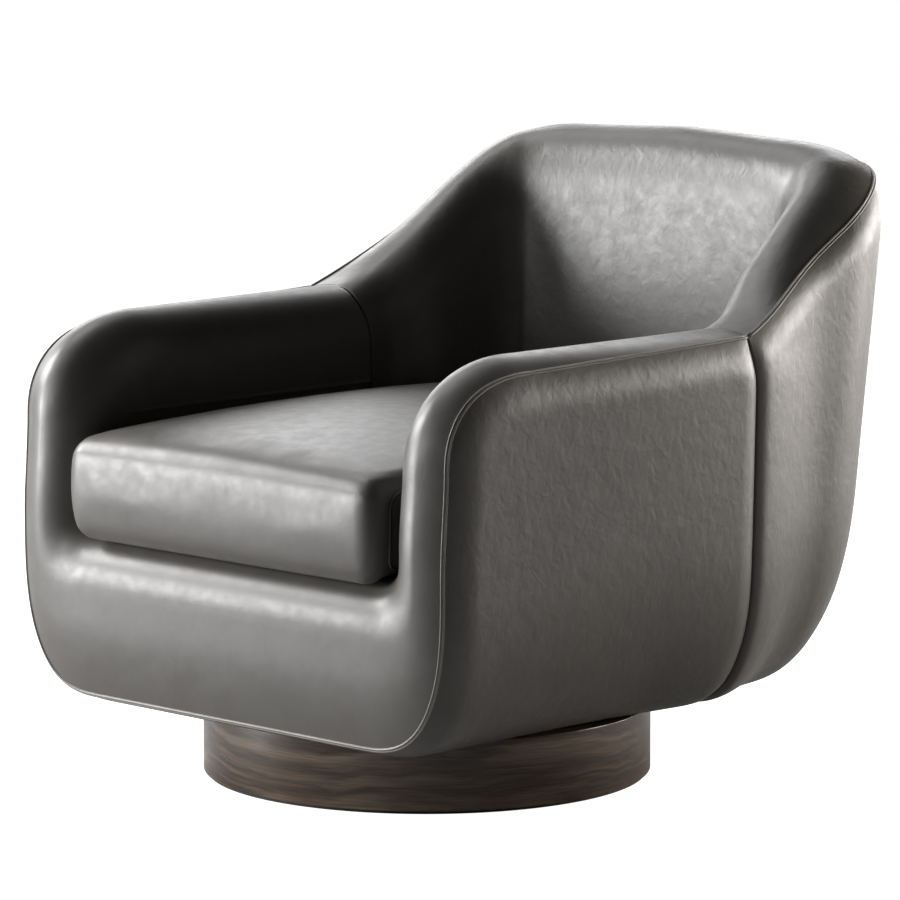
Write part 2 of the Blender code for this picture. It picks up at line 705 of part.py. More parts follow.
def back_panel_half(side_grid):
    """The outer back from the side seam to its centre: its first column is the side panel's last one."""
    columns = [side_grid[:, -1]]
    for index in range(1, WING_STEPS + 1):
        share = index / WING_STEPS
        run = back_run(share)
        seam_z = back_seam_z(run)
        levels = panel_levels(float(girth_level(VALLEY_Y, seam_z)))
        tucked = 1 + (np.arange(RAIL_CORNER_STEPS + 2) / (RAIL_CORNER_STEPS + 1)) * (BACK_END_LEVEL - 1)
        blend = float(ease(run / BACK_TUCK_RUN))
        levels[-len(tucked):] += (tucked - levels[-len(tucked):]) * blend
        _, height = girth(np.float64(VALLEY_Y), levels)
        columns.append(back_point(np.full(len(levels), share), levels, seam_sink(seam_z - height, run)))
    return np.array(columns)


def mirrored(grid):
    return grid * np.array([-1.0, 1.0, 1.0])


def whole(half):
    """Join a half, listed from the centre outwards, with its mirror image: -X first."""
    return np.concatenate([mirrored(half[1:])[::-1], half])


def outward_directions(grids):
    """Unit normals at every grid point, shared where grids meet, so that neighbouring pads are mitred."""
    sums = {}
    for grid in grids.values():
        corner, next_row = grid[:-1, :-1], grid[1:, :-1]
        opposite, next_column = grid[1:, 1:], grid[:-1, 1:]
        normal = np.cross(opposite - corner, next_column - next_row)
        length = np.linalg.norm(normal, axis=-1, keepdims=True)
        normal = normal / np.maximum(length, 1e-12)
        for points in (corner, next_row, opposite, next_column):
            for point, direction in zip(points.reshape(-1, 3), normal.reshape(-1, 3)):
                key = tuple(np.round(point * 2e4).astype(int))
                sums[key] = sums.get(key, 0.0) + direction
    result = {}
    for name, grid in grids.items():
        flat = grid.reshape(-1, 3)
        found = np.array([sums[tuple(np.round(point * 2e4).astype(int))] for point in flat])
        found /= np.maximum(np.linalg.norm(found, axis=1, keepdims=True), 1e-12)
        result[name] = found.reshape(grid.shape)
    return result


def drawn_back(grid, amount):
    """Pull a grid's border in by a small amount, so that neighbours don't touch."""
    pulled = grid.copy()

    def step(edge, inner):
        along = inner - edge
        length = np.linalg.norm(along, axis=-1, keepdims=True)
        return edge + along / np.maximum(length, 1e-12) * np.minimum(amount, length * 0.3)

    pulled[0] = step(pulled[0], pulled[1])
    pulled[-1] = step(pulled[-1], pulled[-2])
    pulled[:, 0] = step(pulled[:, 0], pulled[:, 1])
    pulled[:, -1] = step(pulled[:, -1], pulled[:, -2])
    return pulled


def add_layer(name, grid, outward, top_depth, bottom_depth, material, draw=SEAM_GAP):
    """A closed pad between two depths below a covered surface, drawn back from its border."""
    bm = bmesh.new()
    layers = []
    for depth in (top_depth, bottom_depth):
        points = drawn_back(grid - outward * depth, draw)
        layers.append([[bm.verts.new(point) for point in row] for row in points])
    upper, lower = layers
    rows, columns = len(upper), len(upper[0])
    for row in range(rows - 1):
        for column in range(columns - 1):
            for layer, order in ((upper, (0, 1, 2)), (lower, (2, 1, 0))):
                corners = (layer[row][column], layer[row + 1][column],
                           layer[row + 1][column + 1], layer[row][column + 1])
                bm.faces.new([corners[index] for index in order])
                bm.faces.new([(corners[0], corners[2], corners[3])[index] for index in order])
    border = [(row, 0) for row in range(rows)]
    border += [(rows - 1, column) for column in range(1, columns)]
    border += [(row, columns - 1) for row in range(rows - 2, -1, -1)]
    border += [(0, column) for column in range(columns - 2, 0, -1)]
    for (row, column), (next_row, next_column) in zip(border, border[1:] + border[:1]):
        first, second = upper[row][column], upper[next_row][next_column]
        third, fourth = lower[next_row][next_column], lower[row][column]
        bm.faces.new((first, second, third))
        bm.faces.new((first, third, fourth))
    mesh = mesh_from_bmesh(name, bm)
    smooth_round(mesh, 35.0)
    return add_mesh_object(name, mesh, material)


def tub_grids():
    """Every covered surface of the tub, both halves, as named grids."""
    band_half, places = front_band_half()
    wing = wing_half()
    side = side_panel_grid(places)
    back = back_panel_half(side)
    lip_end = side[-1, :LIP_STEPS + 1]
    lip = np.array([lip_end * np.array([share, 1.0, 1.0]) for share in np.linspace(1, -1, 2 * RAIL_STEPS + 1)])
    return {
        "front_band": whole(band_half),
        "wing_back": whole(wing[::-1])[::-1],
        "outer_side_left": side,
        "outer_side_right": mirrored(side)[:, ::-1],
        "outer_back": whole(back[::-1]),
        "front_lip": lip,
    }


# Pieces of the plinth

def build_plinth():
    inner = PLINTH_RADIUS - PLINTH_WALL
    edge = PLINTH_EDGE_RADIUS
    floor_z = FELT_THICKNESS + GAP
    add_cylinder("felt_pad", PLINTH_RADIUS - FELT_INSET, 0.0, FELT_THICKNESS, FELT_MATERIAL)
    profile = [(PLINTH_RADIUS - edge, PLINTH_HEIGHT), (PLINTH_RADIUS - edge * 0.3, PLINTH_HEIGHT - edge * 0.3),
               (PLINTH_RADIUS, PLINTH_HEIGHT - edge), (PLINTH_RADIUS, floor_z + edge),
               (PLINTH_RADIUS - edge * 0.3, floor_z + edge * 0.3), (PLINTH_RADIUS - edge, floor_z),
               (inner, floor_z), (inner, PLINTH_HEIGHT)]
    add_turned("plinth_drum", profile, WOOD_MATERIAL, ROUND_SIDES, closed=True)
    board_radius = inner - GAP
    board_top = floor_z + PLINTH_FLOOR_THICKNESS
    add_cylinder("plinth_floor", board_radius, floor_z, board_top, PLY_MATERIAL)
    bearing_bottom = PLINTH_HEIGHT - GAP - BEARING_HEIGHT
    top_low = bearing_bottom - GAP - PLINTH_TOP_THICKNESS
    top_board = add_cylinder("plinth_top_board", board_radius, top_low, bearing_bottom - GAP, PLY_MATERIAL)
    add_turned("plinth_core", [(CORE_RADIUS, top_low - GAP), (CORE_RADIUS, board_top + GAP),
                               (CORE_RADIUS - CORE_WALL, board_top + GAP),
                               (CORE_RADIUS - CORE_WALL, top_low - GAP)], PLY_MATERIAL, 40, closed=True)
    return top_board, bearing_bottom


def race_profile(low_z, high_z, groove_on_top):
    """Section of a flat race with a shallow groove for the balls."""
    inner = RACE_RADIUS - RACE_WIDTH / 2
    outer = RACE_RADIUS + RACE_WIDTH / 2
    half = math.sqrt(2 * BALL_RADIUS * GROOVE_DEPTH - GROOVE_DEPTH**2) + BALL_CLEARANCE
    face_z, flat_z, sign = (high_z, low_z, -1) if groove_on_top else (low_z, high_z, 1)
    floor_z = face_z + sign * (GROOVE_DEPTH + BALL_CLEARANCE)
    groove = [(RACE_RADIUS + half, face_z), (RACE_RADIUS + half * 0.5, floor_z),
              (RACE_RADIUS - half * 0.5, floor_z), (RACE_RADIUS - half, face_z)]
    if groove_on_top:
        return [(outer, face_z), (outer, flat_z), (inner, flat_z), (inner, face_z)] + groove[::-1]
    return [(outer, flat_z), (outer, face_z)] + groove + [(inner, face_z), (inner, flat_z)]


def screw_profile(head_down):
    """A countersunk-free pan-head screw, point at z 0 and head above, or the same upside down."""
    shape = [(0.0, SCREW_LENGTH + SCREW_HEAD_HEIGHT), (SCREW_HEAD_RADIUS * 0.8, SCREW_LENGTH + SCREW_HEAD_HEIGHT),
             (SCREW_HEAD_RADIUS, SCREW_LENGTH + SCREW_HEAD_HEIGHT * 0.5), (SCREW_HEAD_RADIUS, SCREW_LENGTH),
             (SCREW_SHANK_RADIUS, SCREW_LENGTH), (SCREW_SHANK_RADIUS, SCREW_SHANK_RADIUS), (0.0, 0.0)]
    if head_down:
        return [(radius, -height) for radius, height in shape][::-1]
    return shape


def drill(thing, name, places, low_z, high_z):
    """Cut clearance holes for screw shanks."""
    for index, (x, y) in enumerate(places):
        cutter = add_cylinder(f"{name}_{index + 1}", SCREW_SHANK_RADIUS + SCREW_HOLE_CLEARANCE, low_z, high_z,
                              None, x, y, 12, CUTTERS)
        cut(thing, cutter)


def build_bearing(top_board, bottom_z, mount_disc, seat_parts):
    """Two races, the ball cage between them, and the screws that hold the races."""
    lower_top = bottom_z + RACE_THICKNESS
    upper_bottom = bottom_z + BEARING_HEIGHT - RACE_THICKNESS
    middle = (lower_top + upper_bottom) / 2
    lower = add_turned("bearing_lower_race", race_profile(bottom_z, lower_top, True), STEEL_MATERIAL, RACE_SIDES,
                       closed=True)
    upper = add_turned("bearing_upper_race", race_profile(upper_bottom, bottom_z + BEARING_HEIGHT, False),
                       STEEL_MATERIAL, RACE_SIDES, closed=True)
    seat_parts.append(upper)
    cage_inner = RACE_RADIUS - CAGE_WIDTH / 2
    cage_outer = RACE_RADIUS + CAGE_WIDTH / 2
    cage_low = middle - CAGE_THICKNESS / 2
    cage = add_turned("ball_cage", [(cage_outer, cage_low + CAGE_THICKNESS), (cage_outer, cage_low),
                                    (cage_inner, cage_low), (cage_inner, cage_low + CAGE_THICKNESS)],
                      STEEL_MATERIAL, RACE_SIDES, closed=True)
    cage_parts = [cage]
    for index, (x, y) in enumerate(ring_places(BALL_COUNT, RACE_RADIUS)):
        cutter = add_cylinder(f"cage_hole_{index + 1}", BALL_RADIUS + CAGE_HOLE_CLEARANCE,
                              cage_low - CAGE_THICKNESS, cage_low + 2 * CAGE_THICKNESS, None, x, y, 12, CUTTERS)
        cut(cage, cutter)
        bm = bmesh.new()
        bmesh.ops.create_uvsphere(bm, u_segments=8, v_segments=6, radius=BALL_RADIUS)
        mesh = mesh_from_bmesh(f"ball_{index + 1}", bm)
        mesh.shade_smooth()
        ball = add_mesh_object(f"ball_{index + 1}", mesh, STEEL_MATERIAL)
        ball.location = (x, y, middle)
        cage_parts.append(ball)
    places = list(ring_places(SCREW_COUNT, SCREW_CIRCLE))
    drill(lower, "lower_race_hole", places, bottom_z - 0.02, lower_top + 0.01)
    drill(top_board, "top_board_hole", places, bottom_z - SCREW_LENGTH, bottom_z + 0.01)
    drill(upper, "upper_race_hole", places, upper_bottom - 0.01, bottom_z + BEARING_HEIGHT + 0.01)
    drill(mount_disc, "mount_disc_hole", places, bottom_z + BEARING_HEIGHT - 0.01,
          bottom_z + BEARING_HEIGHT + SCREW_LENGTH)
    for index, (x, y) in enumerate(places):
        add_turned(f"lower_screw_{index + 1}", screw_profile(False), STEEL_MATERIAL, 8, x, y,
                   lower_top + GAP - SCREW_LENGTH)
        screw = add_turned(f"upper_screw_{index + 1}", screw_profile(True), STEEL_MATERIAL, 8, x, y,
                           upper_bottom - GAP + SCREW_LENGTH)
        seat_parts.append(screw)
    return cage_parts


# Pieces of the frame inside the tub

def rear_inner_face(z):
    """Y of the outer back panel's hidden face at the back's centre, at a height."""
    levels = np.linspace(girth_level(VALLEY_Y, BACK_SEAM_Z), BACK_END_LEVEL, 200)
    points = back_point(np.ones(200), levels)
    return float(np.interp(-z, -points[:, 2], points[:, 1])) - BACK_BOW - PANEL_THICKNESS * 1.4


def wall_foot(grids):
    """Foot of the inner wall at +X, from the back's centre to the valley."""
    foot = grids["wing_back"][:, -1]
    return foot[:len(foot) // 2 + 1][::-1]


def deck_outline(grids, clearance):
    """Plan of the seat well: straight arms, then the foot of the wings' inner wall and of the back."""
    foot = wall_foot(grids)
    half = []
    for point, before, after in zip(foot[:-1], np.vstack([mirrored(foot[1]), foot[:-2]]), foot[1:]):
        along = after[:2] - before[:2]
        inward = np.array([along[1], -along[0]]) / np.linalg.norm(along)
        half.append(point[:2] + inward * clearance)
    half[0][0] = 0.0
    edge = ARM_INNER_X - clearance
    half.append(np.array([edge, VALLEY_Y - GAP]))
    half.append(np.array([edge, BAND_WALL_END_Y + SEAM_GAP + GAP]))
    right = [(float(x), float(y)) for x, y in half]
    return [(-x, y) for x, y in right[:0:-1]] + right


def build_frame(disc_bottom, grids):
    """Mounting disc, crossbars, platform, seat rails, straps, deck, arm frames and the back's frame."""
    disc_top = disc_bottom + MOUNT_DISC_THICKNESS
    disc = add_cylinder("mounting_disc", MOUNT_DISC_RADIUS, disc_bottom, disc_top, PLY_MATERIAL)
    parts = [disc]
    bar_bottom = disc_top + GAP
    bar_top = bar_bottom + CROSSBAR_HEIGHT
    bar_half = math.sqrt(MOUNT_DISC_RADIUS**2 - (CROSSBAR_Y + CROSSBAR_WIDTH / 2) ** 2)
    for name, y in (("crossbar_front", -CROSSBAR_Y), ("crossbar_rear", CROSSBAR_Y)):
        parts.append(add_box(name, (-bar_half, y - CROSSBAR_WIDTH / 2, bar_bottom),
                             (bar_half, y + CROSSBAR_WIDTH / 2, bar_top), PLY_MATERIAL))

    # The platform and the rails that stand on it
    front_face = SEAM_Y - FRONT_CROWN + LEATHER + BAND_FOAM + 2 * GAP + FRAME_SETBACK
    half = ARM_INNER_X + FRAME_INSET
    platform_bottom = bar_top + GAP
    platform_top = platform_bottom + THIN_BOARD
    sunk = PANEL_THICKNESS + PLATFORM_CLEARANCE
    rear = back_point(np.linspace(0.05, 1.0, 9), np.full(9, tuck_level(platform_bottom - sunk)), sunk)
    right = [(half, front_face + PLATFORM_SETBACK), (half, VALLEY_Y - PLATFORM_SETBACK)]
    right += [(min(float(x), half), float(y)) for x, y, _ in rear]
    outline = right + [(-x, y) for x, y in right[-2::-1]]
    parts.append(add_plate("seat_platform", outline, platform_bottom, platform_top, PLY_MATERIAL))
    deck_bottom = RAIL_TOP_Z - DECK_THICKNESS
    cross_bottom = deck_bottom - GAP - STRAP_THICKNESS
    strap_bottom = cross_bottom - GAP - STRAP_THICKNESS
    rail_low = platform_top + GAP
    rail_high = strap_bottom - GAP
    rail_x = half - BOARD
    rear_face = rear_inner_face(rail_low) - 2 * GAP
    parts.append(add_box("seat_rail_front", (-rail_x, front_face, rail_low),
                         (rail_x, front_face + BOARD, rail_high), PLY_MATERIAL))
    rear_half = REAR_RAIL_HALF_LENGTH
    parts.append(add_box("seat_rail_rear", (-rear_half, rear_face - BOARD, rail_low),
                         (rear_half, rear_face, rail_high), PLY_MATERIAL))
    side_end = VALLEY_Y + SEAT_RAIL_OVERRUN
    for name, sign in (("left", 1), ("right", -1)):
        low_x, high_x = sorted((sign * (rail_x + GAP), sign * half))
        parts.append(add_box(f"seat_rail_{name}", (low_x, front_face + BOARD * 0.6, rail_low),
                             (high_x, side_end, rail_high), PLY_MATERIAL))

    # Straps across the rails and the padded deck over them
    for index in range(LONG_STRAP_COUNT):
        x = (index - (LONG_STRAP_COUNT - 1) / 2) * STRAP_PITCH
        parts.append(add_box(f"strap_long_{index + 1}", (x - STRAP_WIDTH / 2, front_face, strap_bottom),
                             (x + STRAP_WIDTH / 2, rear_face - BOARD / 2, strap_bottom + STRAP_THICKNESS),
                             WEBBING_MATERIAL))
    for index in range(CROSS_STRAP_COUNT):
        y = (front_face + side_end) / 2 + (index - (CROSS_STRAP_COUNT - 1) / 2) * CROSS_STRAP_PITCH
        parts.append(add_box(f"strap_cross_{index + 1}", (-rail_x, y - STRAP_WIDTH / 2, cross_bottom),
                             (rail_x, y + STRAP_WIDTH / 2, cross_bottom + STRAP_THICKNESS), WEBBING_MATERIAL))
    parts.append(add_plate("seat_deck", deck_outline(grids, GAP), deck_bottom, RAIL_TOP_Z, LEATHER_MATERIAL))
    parts += build_arm_frames(deck_bottom)
    parts += build_back_frame(rear_face, rail_high)
    return disc, parts


def build_arm_frames(pad_bottom):
    """A shaped board inside each arm, and the pad that faces the cushion."""
    parts = []
    inner = ARM_INNER_X + FRAME_INSET + GAP
    arm_top = ARM_SEAM_FRONT_Z - ARM_FRAME_DROP
    front = ARM_FRONT_CORNER_Y - ARM_FRAME_SETBACK
    step = ARM_FRAME_STEP
    start = VALLEY_Y + WING_FRAME_START
    reach = VALLEY_Y + WING_FRAME_REACH
    outline = [(front, SIDE_FRAME_LOW_Z), (VALLEY_Y - WING_FRAME_TAPER, SIDE_FRAME_LOW_Z),
               (start, SIDE_FRAME_LOW_Z + WING_FRAME_RISE), (reach, RAIL_TOP_Z + WING_FRAME_HEEL),
               (reach, BACK_SEAM_Z - WING_FRAME_DROP), (start, arm_top + step),
               (VALLEY_Y, arm_top - step), (front + ARM_FRAME_TOP_CUT, arm_top - step),
               (front, arm_top - step - ARM_FRAME_TOP_CUT)]
    for name, sign in (("left", 1), ("right", -1)):
        low_x, high_x = sorted((sign * inner, sign * (inner + BOARD)))
        board = add_plate(f"side_frame_{name}", outline, low_x, high_x, PLY_MATERIAL)
        middle = (low_x + high_x) / 2
        board.matrix_world = Matrix(((0, 0, 1, middle), (1, 0, 0, 0), (0, 1, 0, 0), (0, 0, 0, 1)))
        parts.append(board)
        low_x, high_x = sorted((sign * ARM_INNER_X, sign * (ARM_INNER_X + INNER_ARM_PAD)))
        parts.append(add_box(f"inner_arm_{name}", (low_x, BAND_WALL_END_Y + SEAM_GAP + GAP, pad_bottom),
                             (high_x, VALLEY_Y - GAP, BAND_WALL_END_Z - SEAM_GAP), LEATHER_MATERIAL))
    return parts


def build_back_frame(sill_front, sill_top):
    """A sill behind the seat, leaning posts on it and the rail across their tops."""
    sill_low = sill_top + SILL_RISE - SILL_HEIGHT
    sill_high = sill_low + SILL_HEIGHT
    parts = [add_box("back_sill", (-REAR_RAIL_HALF_LENGTH, sill_front + GAP, sill_low),
                     (REAR_RAIL_HALF_LENGTH, rear_inner_face(sill_low) - 2 * GAP, sill_high), PLY_MATERIAL)]
    lean = Matrix.Rotation(-math.atan(BACK_LEAN), 4, "X")
    rear = rear_inner_face(BACK_REFERENCE_Z) - 2 * GAP
    pivot = (0.0, rear, BACK_REFERENCE_Z)
    rail_top = BACK_SEAM_Z - LEATHER - WING_FOAM - BACK_RAIL_DROP
    rail_low = rail_top - BACK_RAIL_HEIGHT
    tilt = math.atan(BACK_LEAN)
    post_low = BACK_REFERENCE_Z + (sill_high + 3 * GAP - BACK_REFERENCE_Z
                                   - BACK_POST_DEPTH * math.sin(tilt)) / math.cos(tilt)
    for name, x in (("left", BACK_POST_PITCH), ("right", -BACK_POST_PITCH)):
        parts.append(add_box(f"back_post_{name}", (x - BACK_POST_WIDTH / 2, rear - BACK_POST_DEPTH, post_low),
                             (x + BACK_POST_WIDTH / 2, rear, rail_low - GAP), PLY_MATERIAL,
                             turn=lean, pivot=pivot))
    rail_half = BACK_POST_PITCH + BACK_POST_WIDTH / 2
    parts.append(add_box("back_top_rail", (-rail_half, rear - BACK_POST_DEPTH - BACK_RAIL_SETBACK, rail_low),
                         (rail_half, rear - BACK_RAIL_SETBACK, rail_top), PLY_MATERIAL, turn=lean, pivot=pivot))
    return parts


def build_dust_cover(grids):
    """Thin cloth that closes the underside, from the covers' lower edges to the mounting disc."""
    path = list(grids["outer_back"][:, -1])
    path += list(grids["outer_side_left"][-1, LIP_STEPS:][::-1])[1:]
    path += list(grids["outer_side_right"][-1, :-LIP_STEPS][::-1])[:-1]
    outline = []
    for x, y, _ in path:
        share = 1 - DUST_COVER_INSET / math.hypot(x, y)
        outline.append((float(x) * share, float(y) * share))
    low = UNDERSIDE_Z + PANEL_THICKNESS * 0.4
    return add_plate("dust_cover", outline, low, low + DUST_COVER_THICKNESS, WEBBING_MATERIAL,
                     MOUNT_DISC_RADIUS + GAP)


# The loose cushion

def well_half_width(grids):
    """The seat well's half width as a function of y, read from the wings' inner wall."""
    path = wall_foot(grids)[::-1]
    turn = int(np.argmin(np.diff(path[:, 1]) > 0.006)) or len(path)
    ys = path[:turn + 1, 1]
    xs = path[:turn + 1, 0]
    return lambda y: float(np.interp(y, ys, xs))


def cushion_place(across, along, up, rear_y, half_width):
    """Point of the cushion's surface for a place on the surface of a cube from -1 to 1."""
    centre_y = (CUSHION_FRONT_Y + rear_y) / 2
    half_y = (rear_y - CUSHION_FRONT_Y) / 2
    half_z = CUSHION_EDGE_HEIGHT / 2
    trim = CUSHION_SIDE_CLEARANCE + BOXING_THICKNESS + GAP
    half_x = ARM_INNER_X - trim - CUSHION_BELLY
    flat = Vector((across * half_x, along * half_y, up * half_z))
    radius = CUSHION_EDGE_RADIUS
    core = Vector((max(-half_x + radius, min(half_x - radius, flat.x)),
                   max(-half_y + radius, min(half_y - radius, flat.y)),
                   max(-half_z + radius, min(half_z - radius, flat.z))))
    if (flat - core).length > 1e-9:
        flat = core + (flat - core).normalized() * radius
    over_x = flat.x / half_x
    over_y = flat.y / half_y
    lift = max(flat.z / half_z, 0.0)
    crown = CUSHION_CROWN * math.sqrt(max(1 - over_x**2, 0)) * math.sqrt(max(1 - over_y**2, 0)) * lift
    height = flat.z + half_z
    low = max(1 - height / CUSHION_LOWER_REACH, 0.0) ** 2
    bulge = CUSHION_BELLY * (1 - (flat.z / half_z) ** 2) - CUSHION_LOWER_DRAW * low
    y = centre_y + flat.y + bulge * over_y * abs(over_y) ** 3 * 0.8
    room = half_width(y) - trim
    x = (flat.x + bulge * over_x * abs(over_x) ** 3) * min(room / (half_x + CUSHION_BELLY), 1.0)
    return Vector((x, y, RAIL_TOP_Z + GAP + height + crown))


def spaced(count):
    """Shares from -1 to 1 that crowd towards both ends, where the cushion's edges are rounded."""
    even = np.linspace(-1, 1, count + 1)
    return np.sin(even * math.pi / 2 * 0.86) / math.sin(math.pi / 2 * 0.86)


def build_cushion(grids):
    """The seat cushion with its crown and drawn-in sides, its side boxing, and the zip at its rear."""
    half_width = well_half_width(grids)
    rear_y = float(wall_foot(grids)[0][1]) - CUSHION_REAR_CLEARANCE
    bm = bmesh.new()
    counts = (CUSHION_CELLS_X, CUSHION_CELLS_Y, CUSHION_CELLS_Z)
    shares = [spaced(count) for count in counts]
    found = {}

    def corner(index):
        if index not in found:
            place = cushion_place(*[float(share[i]) for share, i in zip(shares, index)], rear_y, half_width)
            found[index] = bm.verts.new(place)
        return found[index]

    for axis in range(3):
        first, second = [other for other in range(3) if other != axis]
        for end in (0, counts[axis]):
            for i in range(counts[first]):
                for j in range(counts[second]):
                    face = []
                    for step_i, step_j in ((0, 0), (1, 0), (1, 1), (0, 1)):
                        index = [0, 0, 0]
                        index[axis], index[first], index[second] = end, i + step_i, j + step_j
                        face.append(corner(tuple(index)))
                    bm.faces.new(face)
    mesh = mesh_from_bmesh("seat_cushion", bm)
    smooth_round(mesh, 60.0)
    parts = [add_mesh_object("seat_cushion", mesh, LEATHER_MATERIAL)]

    # Side boxing and rear boxing lie on the cushion's faces, over whole cells of its grid
    ups = shares[2][1:-1]
    alongs = shares[1][1:-1]
    for name, side in (("left", 1), ("right", -1)):
        grid = np.array([[cushion_place(side, float(along), float(up), rear_y, half_width) for up in ups]
                         for along in alongs])
        parts.append(add_cushion_panel(f"cushion_boxing_{name}", grid, np.array([side, 0.0, 0.0]),
                                       BOXING_THICKNESS, LEATHER_MATERIAL))
    acrosses = shares[0][2:-2]
    grid = np.array([[cushion_place(float(across), 1.0, float(up), rear_y, half_width) for up in ups]
                     for across in acrosses])
    parts.append(add_cushion_panel("zip_panel", grid, np.array([0.0, 1.0, 0.0]), BOXING_THICKNESS,
                                   LEATHER_MATERIAL))
    slider_y = float(grid[..., 1].max()) + 2 * GAP + BOXING_THICKNESS
    middle_z = RAIL_TOP_Z + GAP + CUSHION_EDGE_HEIGHT / 2
    slider_x = ZIP_LENGTH / 2 - SLIDER_LENGTH
    slider = add_box("zip_slider", (slider_x - SLIDER_LENGTH / 2, slider_y, middle_z - SLIDER_HEIGHT / 2),
                     (slider_x + SLIDER_LENGTH / 2, slider_y + SLIDER_DEPTH, middle_z + SLIDER_HEIGHT / 2),
                     STEEL_MATERIAL, bevel=SLIDER_DEPTH * 0.2)
    return parts, slider


def add_cushion_panel(name, grid, direction, thickness, material):
    """A thin panel that follows a face of the cushion."""
    outward = np.broadcast_to(direction, grid.shape)
    return add_layer(name, grid, outward, -(GAP + thickness), -GAP, material)


def build_covers(grids):
    """Leather, foam and padded panels of the tub, and the welts along their seams."""
    outward = outward_directions(grids)
    parts = []
    for name, foam in (("front_band", BAND_FOAM), ("wing_back", WING_FOAM)):
        parts.append(add_layer(name + "_leather", grids[name], outward[name], 0.0, LEATHER, LEATHER_MATERIAL))
        parts.append(add_layer(name + "_foam", grids[name], outward[name], LEATHER + COVER_GAP,
                               LEATHER + COVER_GAP + foam, FOAM_MATERIAL, FOAM_DRAW))
    for name in ("outer_side_left", "outer_side_right", "outer_back", "front_lip"):
        parts.append(add_layer(name, grids[name], outward[name], 0.0, PANEL_THICKNESS, LEATHER_MATERIAL))
    lift = (WELT_RADIUS + GAP) * WELT_LIFT
    for name, grid_name, line in (("welt_front", "front_band", (slice(None), 0)),
                                  ("welt_back", "wing_back", (slice(None), 0)),
                                  ("welt_side_left", "outer_side_left", (slice(None, -1), -1)),
                                  ("welt_side_right", "outer_side_right", (slice(None, -1), 0))):
        path = grids[grid_name][line] + outward[grid_name][line] * lift
        for end, inner in ((0, 1), (-1, -2)):
            along = path[inner] - path[end]
            path[end] = path[end] + along / np.linalg.norm(along) * WELT_END_GAP
        parts.append(add_tube(name, [tuple(point) for point in path], WELT_RADIUS, LEATHER_MATERIAL))
    return parts


def add_joint_empty(name, place, children):
    """An empty on a joint's axis that carries the pieces that move with it."""
    empty = bpy.data.objects.new(name, None)
    CHAIR.objects.link(empty)
    empty.location = place
    bpy.context.view_layer.update()
    for child in children:
        kept = child.matrix_world.copy()
        child.parent = empty
        child.matrix_world = kept
    return empty


def main():
    top_board, bearing_bottom = build_plinth()
    grids = tub_grids()
    disc, tub_parts = build_frame(bearing_bottom + BEARING_HEIGHT + GAP, grids)
    cage_parts = build_bearing(top_board, bearing_bottom, disc, tub_parts)
    tub_parts += build_covers(grids)
    tub_parts.append(build_dust_cover(grids))
    cushion_parts, slider = build_cushion(grids)
    slider_axis = add_joint_empty("zip_axis", slider.location, [slider])
    cushion_axis = add_joint_empty("cushion_axis", (0, 0, RAIL_TOP_Z), cushion_parts + [slider_axis])
    add_joint_empty("cage_axis", (0, 0, bearing_bottom), cage_parts)
    add_joint_empty("swivel_axis", (0, 0, bearing_bottom), tub_parts + [cushion_axis])


main()
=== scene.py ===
import math

import bmesh
import bpy
import numpy as np
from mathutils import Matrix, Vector, noise


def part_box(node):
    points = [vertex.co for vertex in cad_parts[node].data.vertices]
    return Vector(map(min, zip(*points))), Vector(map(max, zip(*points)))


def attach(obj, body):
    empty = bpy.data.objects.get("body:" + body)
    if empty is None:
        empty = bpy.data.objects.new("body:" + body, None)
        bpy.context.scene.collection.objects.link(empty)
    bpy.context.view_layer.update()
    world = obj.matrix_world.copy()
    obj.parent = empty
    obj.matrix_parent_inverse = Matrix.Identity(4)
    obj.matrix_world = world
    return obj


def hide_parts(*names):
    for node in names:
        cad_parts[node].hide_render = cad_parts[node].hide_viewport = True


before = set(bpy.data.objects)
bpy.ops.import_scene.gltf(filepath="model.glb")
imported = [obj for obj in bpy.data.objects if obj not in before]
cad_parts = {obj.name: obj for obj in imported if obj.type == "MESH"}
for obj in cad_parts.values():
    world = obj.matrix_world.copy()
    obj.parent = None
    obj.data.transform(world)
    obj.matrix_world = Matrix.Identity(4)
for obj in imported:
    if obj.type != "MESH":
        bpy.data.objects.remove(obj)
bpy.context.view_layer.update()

# The studio: a white floor that runs out of view and soft square panels on stands. The two key panels
# stand at the chair's front left, and weaker ones fill the rear and trace the far outline. The camera
# looks at the front right corner of the chair from a little above the arms.
VIEW_TURN = math.radians(44.6)
VIEW_DROP = math.radians(8.2)
CAMERA_PLACE = (4.275, -4.297, 1.248)
LENS_MM = 212.0
AIM = Vector((0.0, 0.0, 0.42))
FLOOR_HALF = 60.0
FLOOR_LEVEL = -0.0004
AMBIENT = 0.018
KEY_COLOR = (0.985, 0.990, 1.000)
FILL_COLOR = (1.000, 0.955, 0.905)
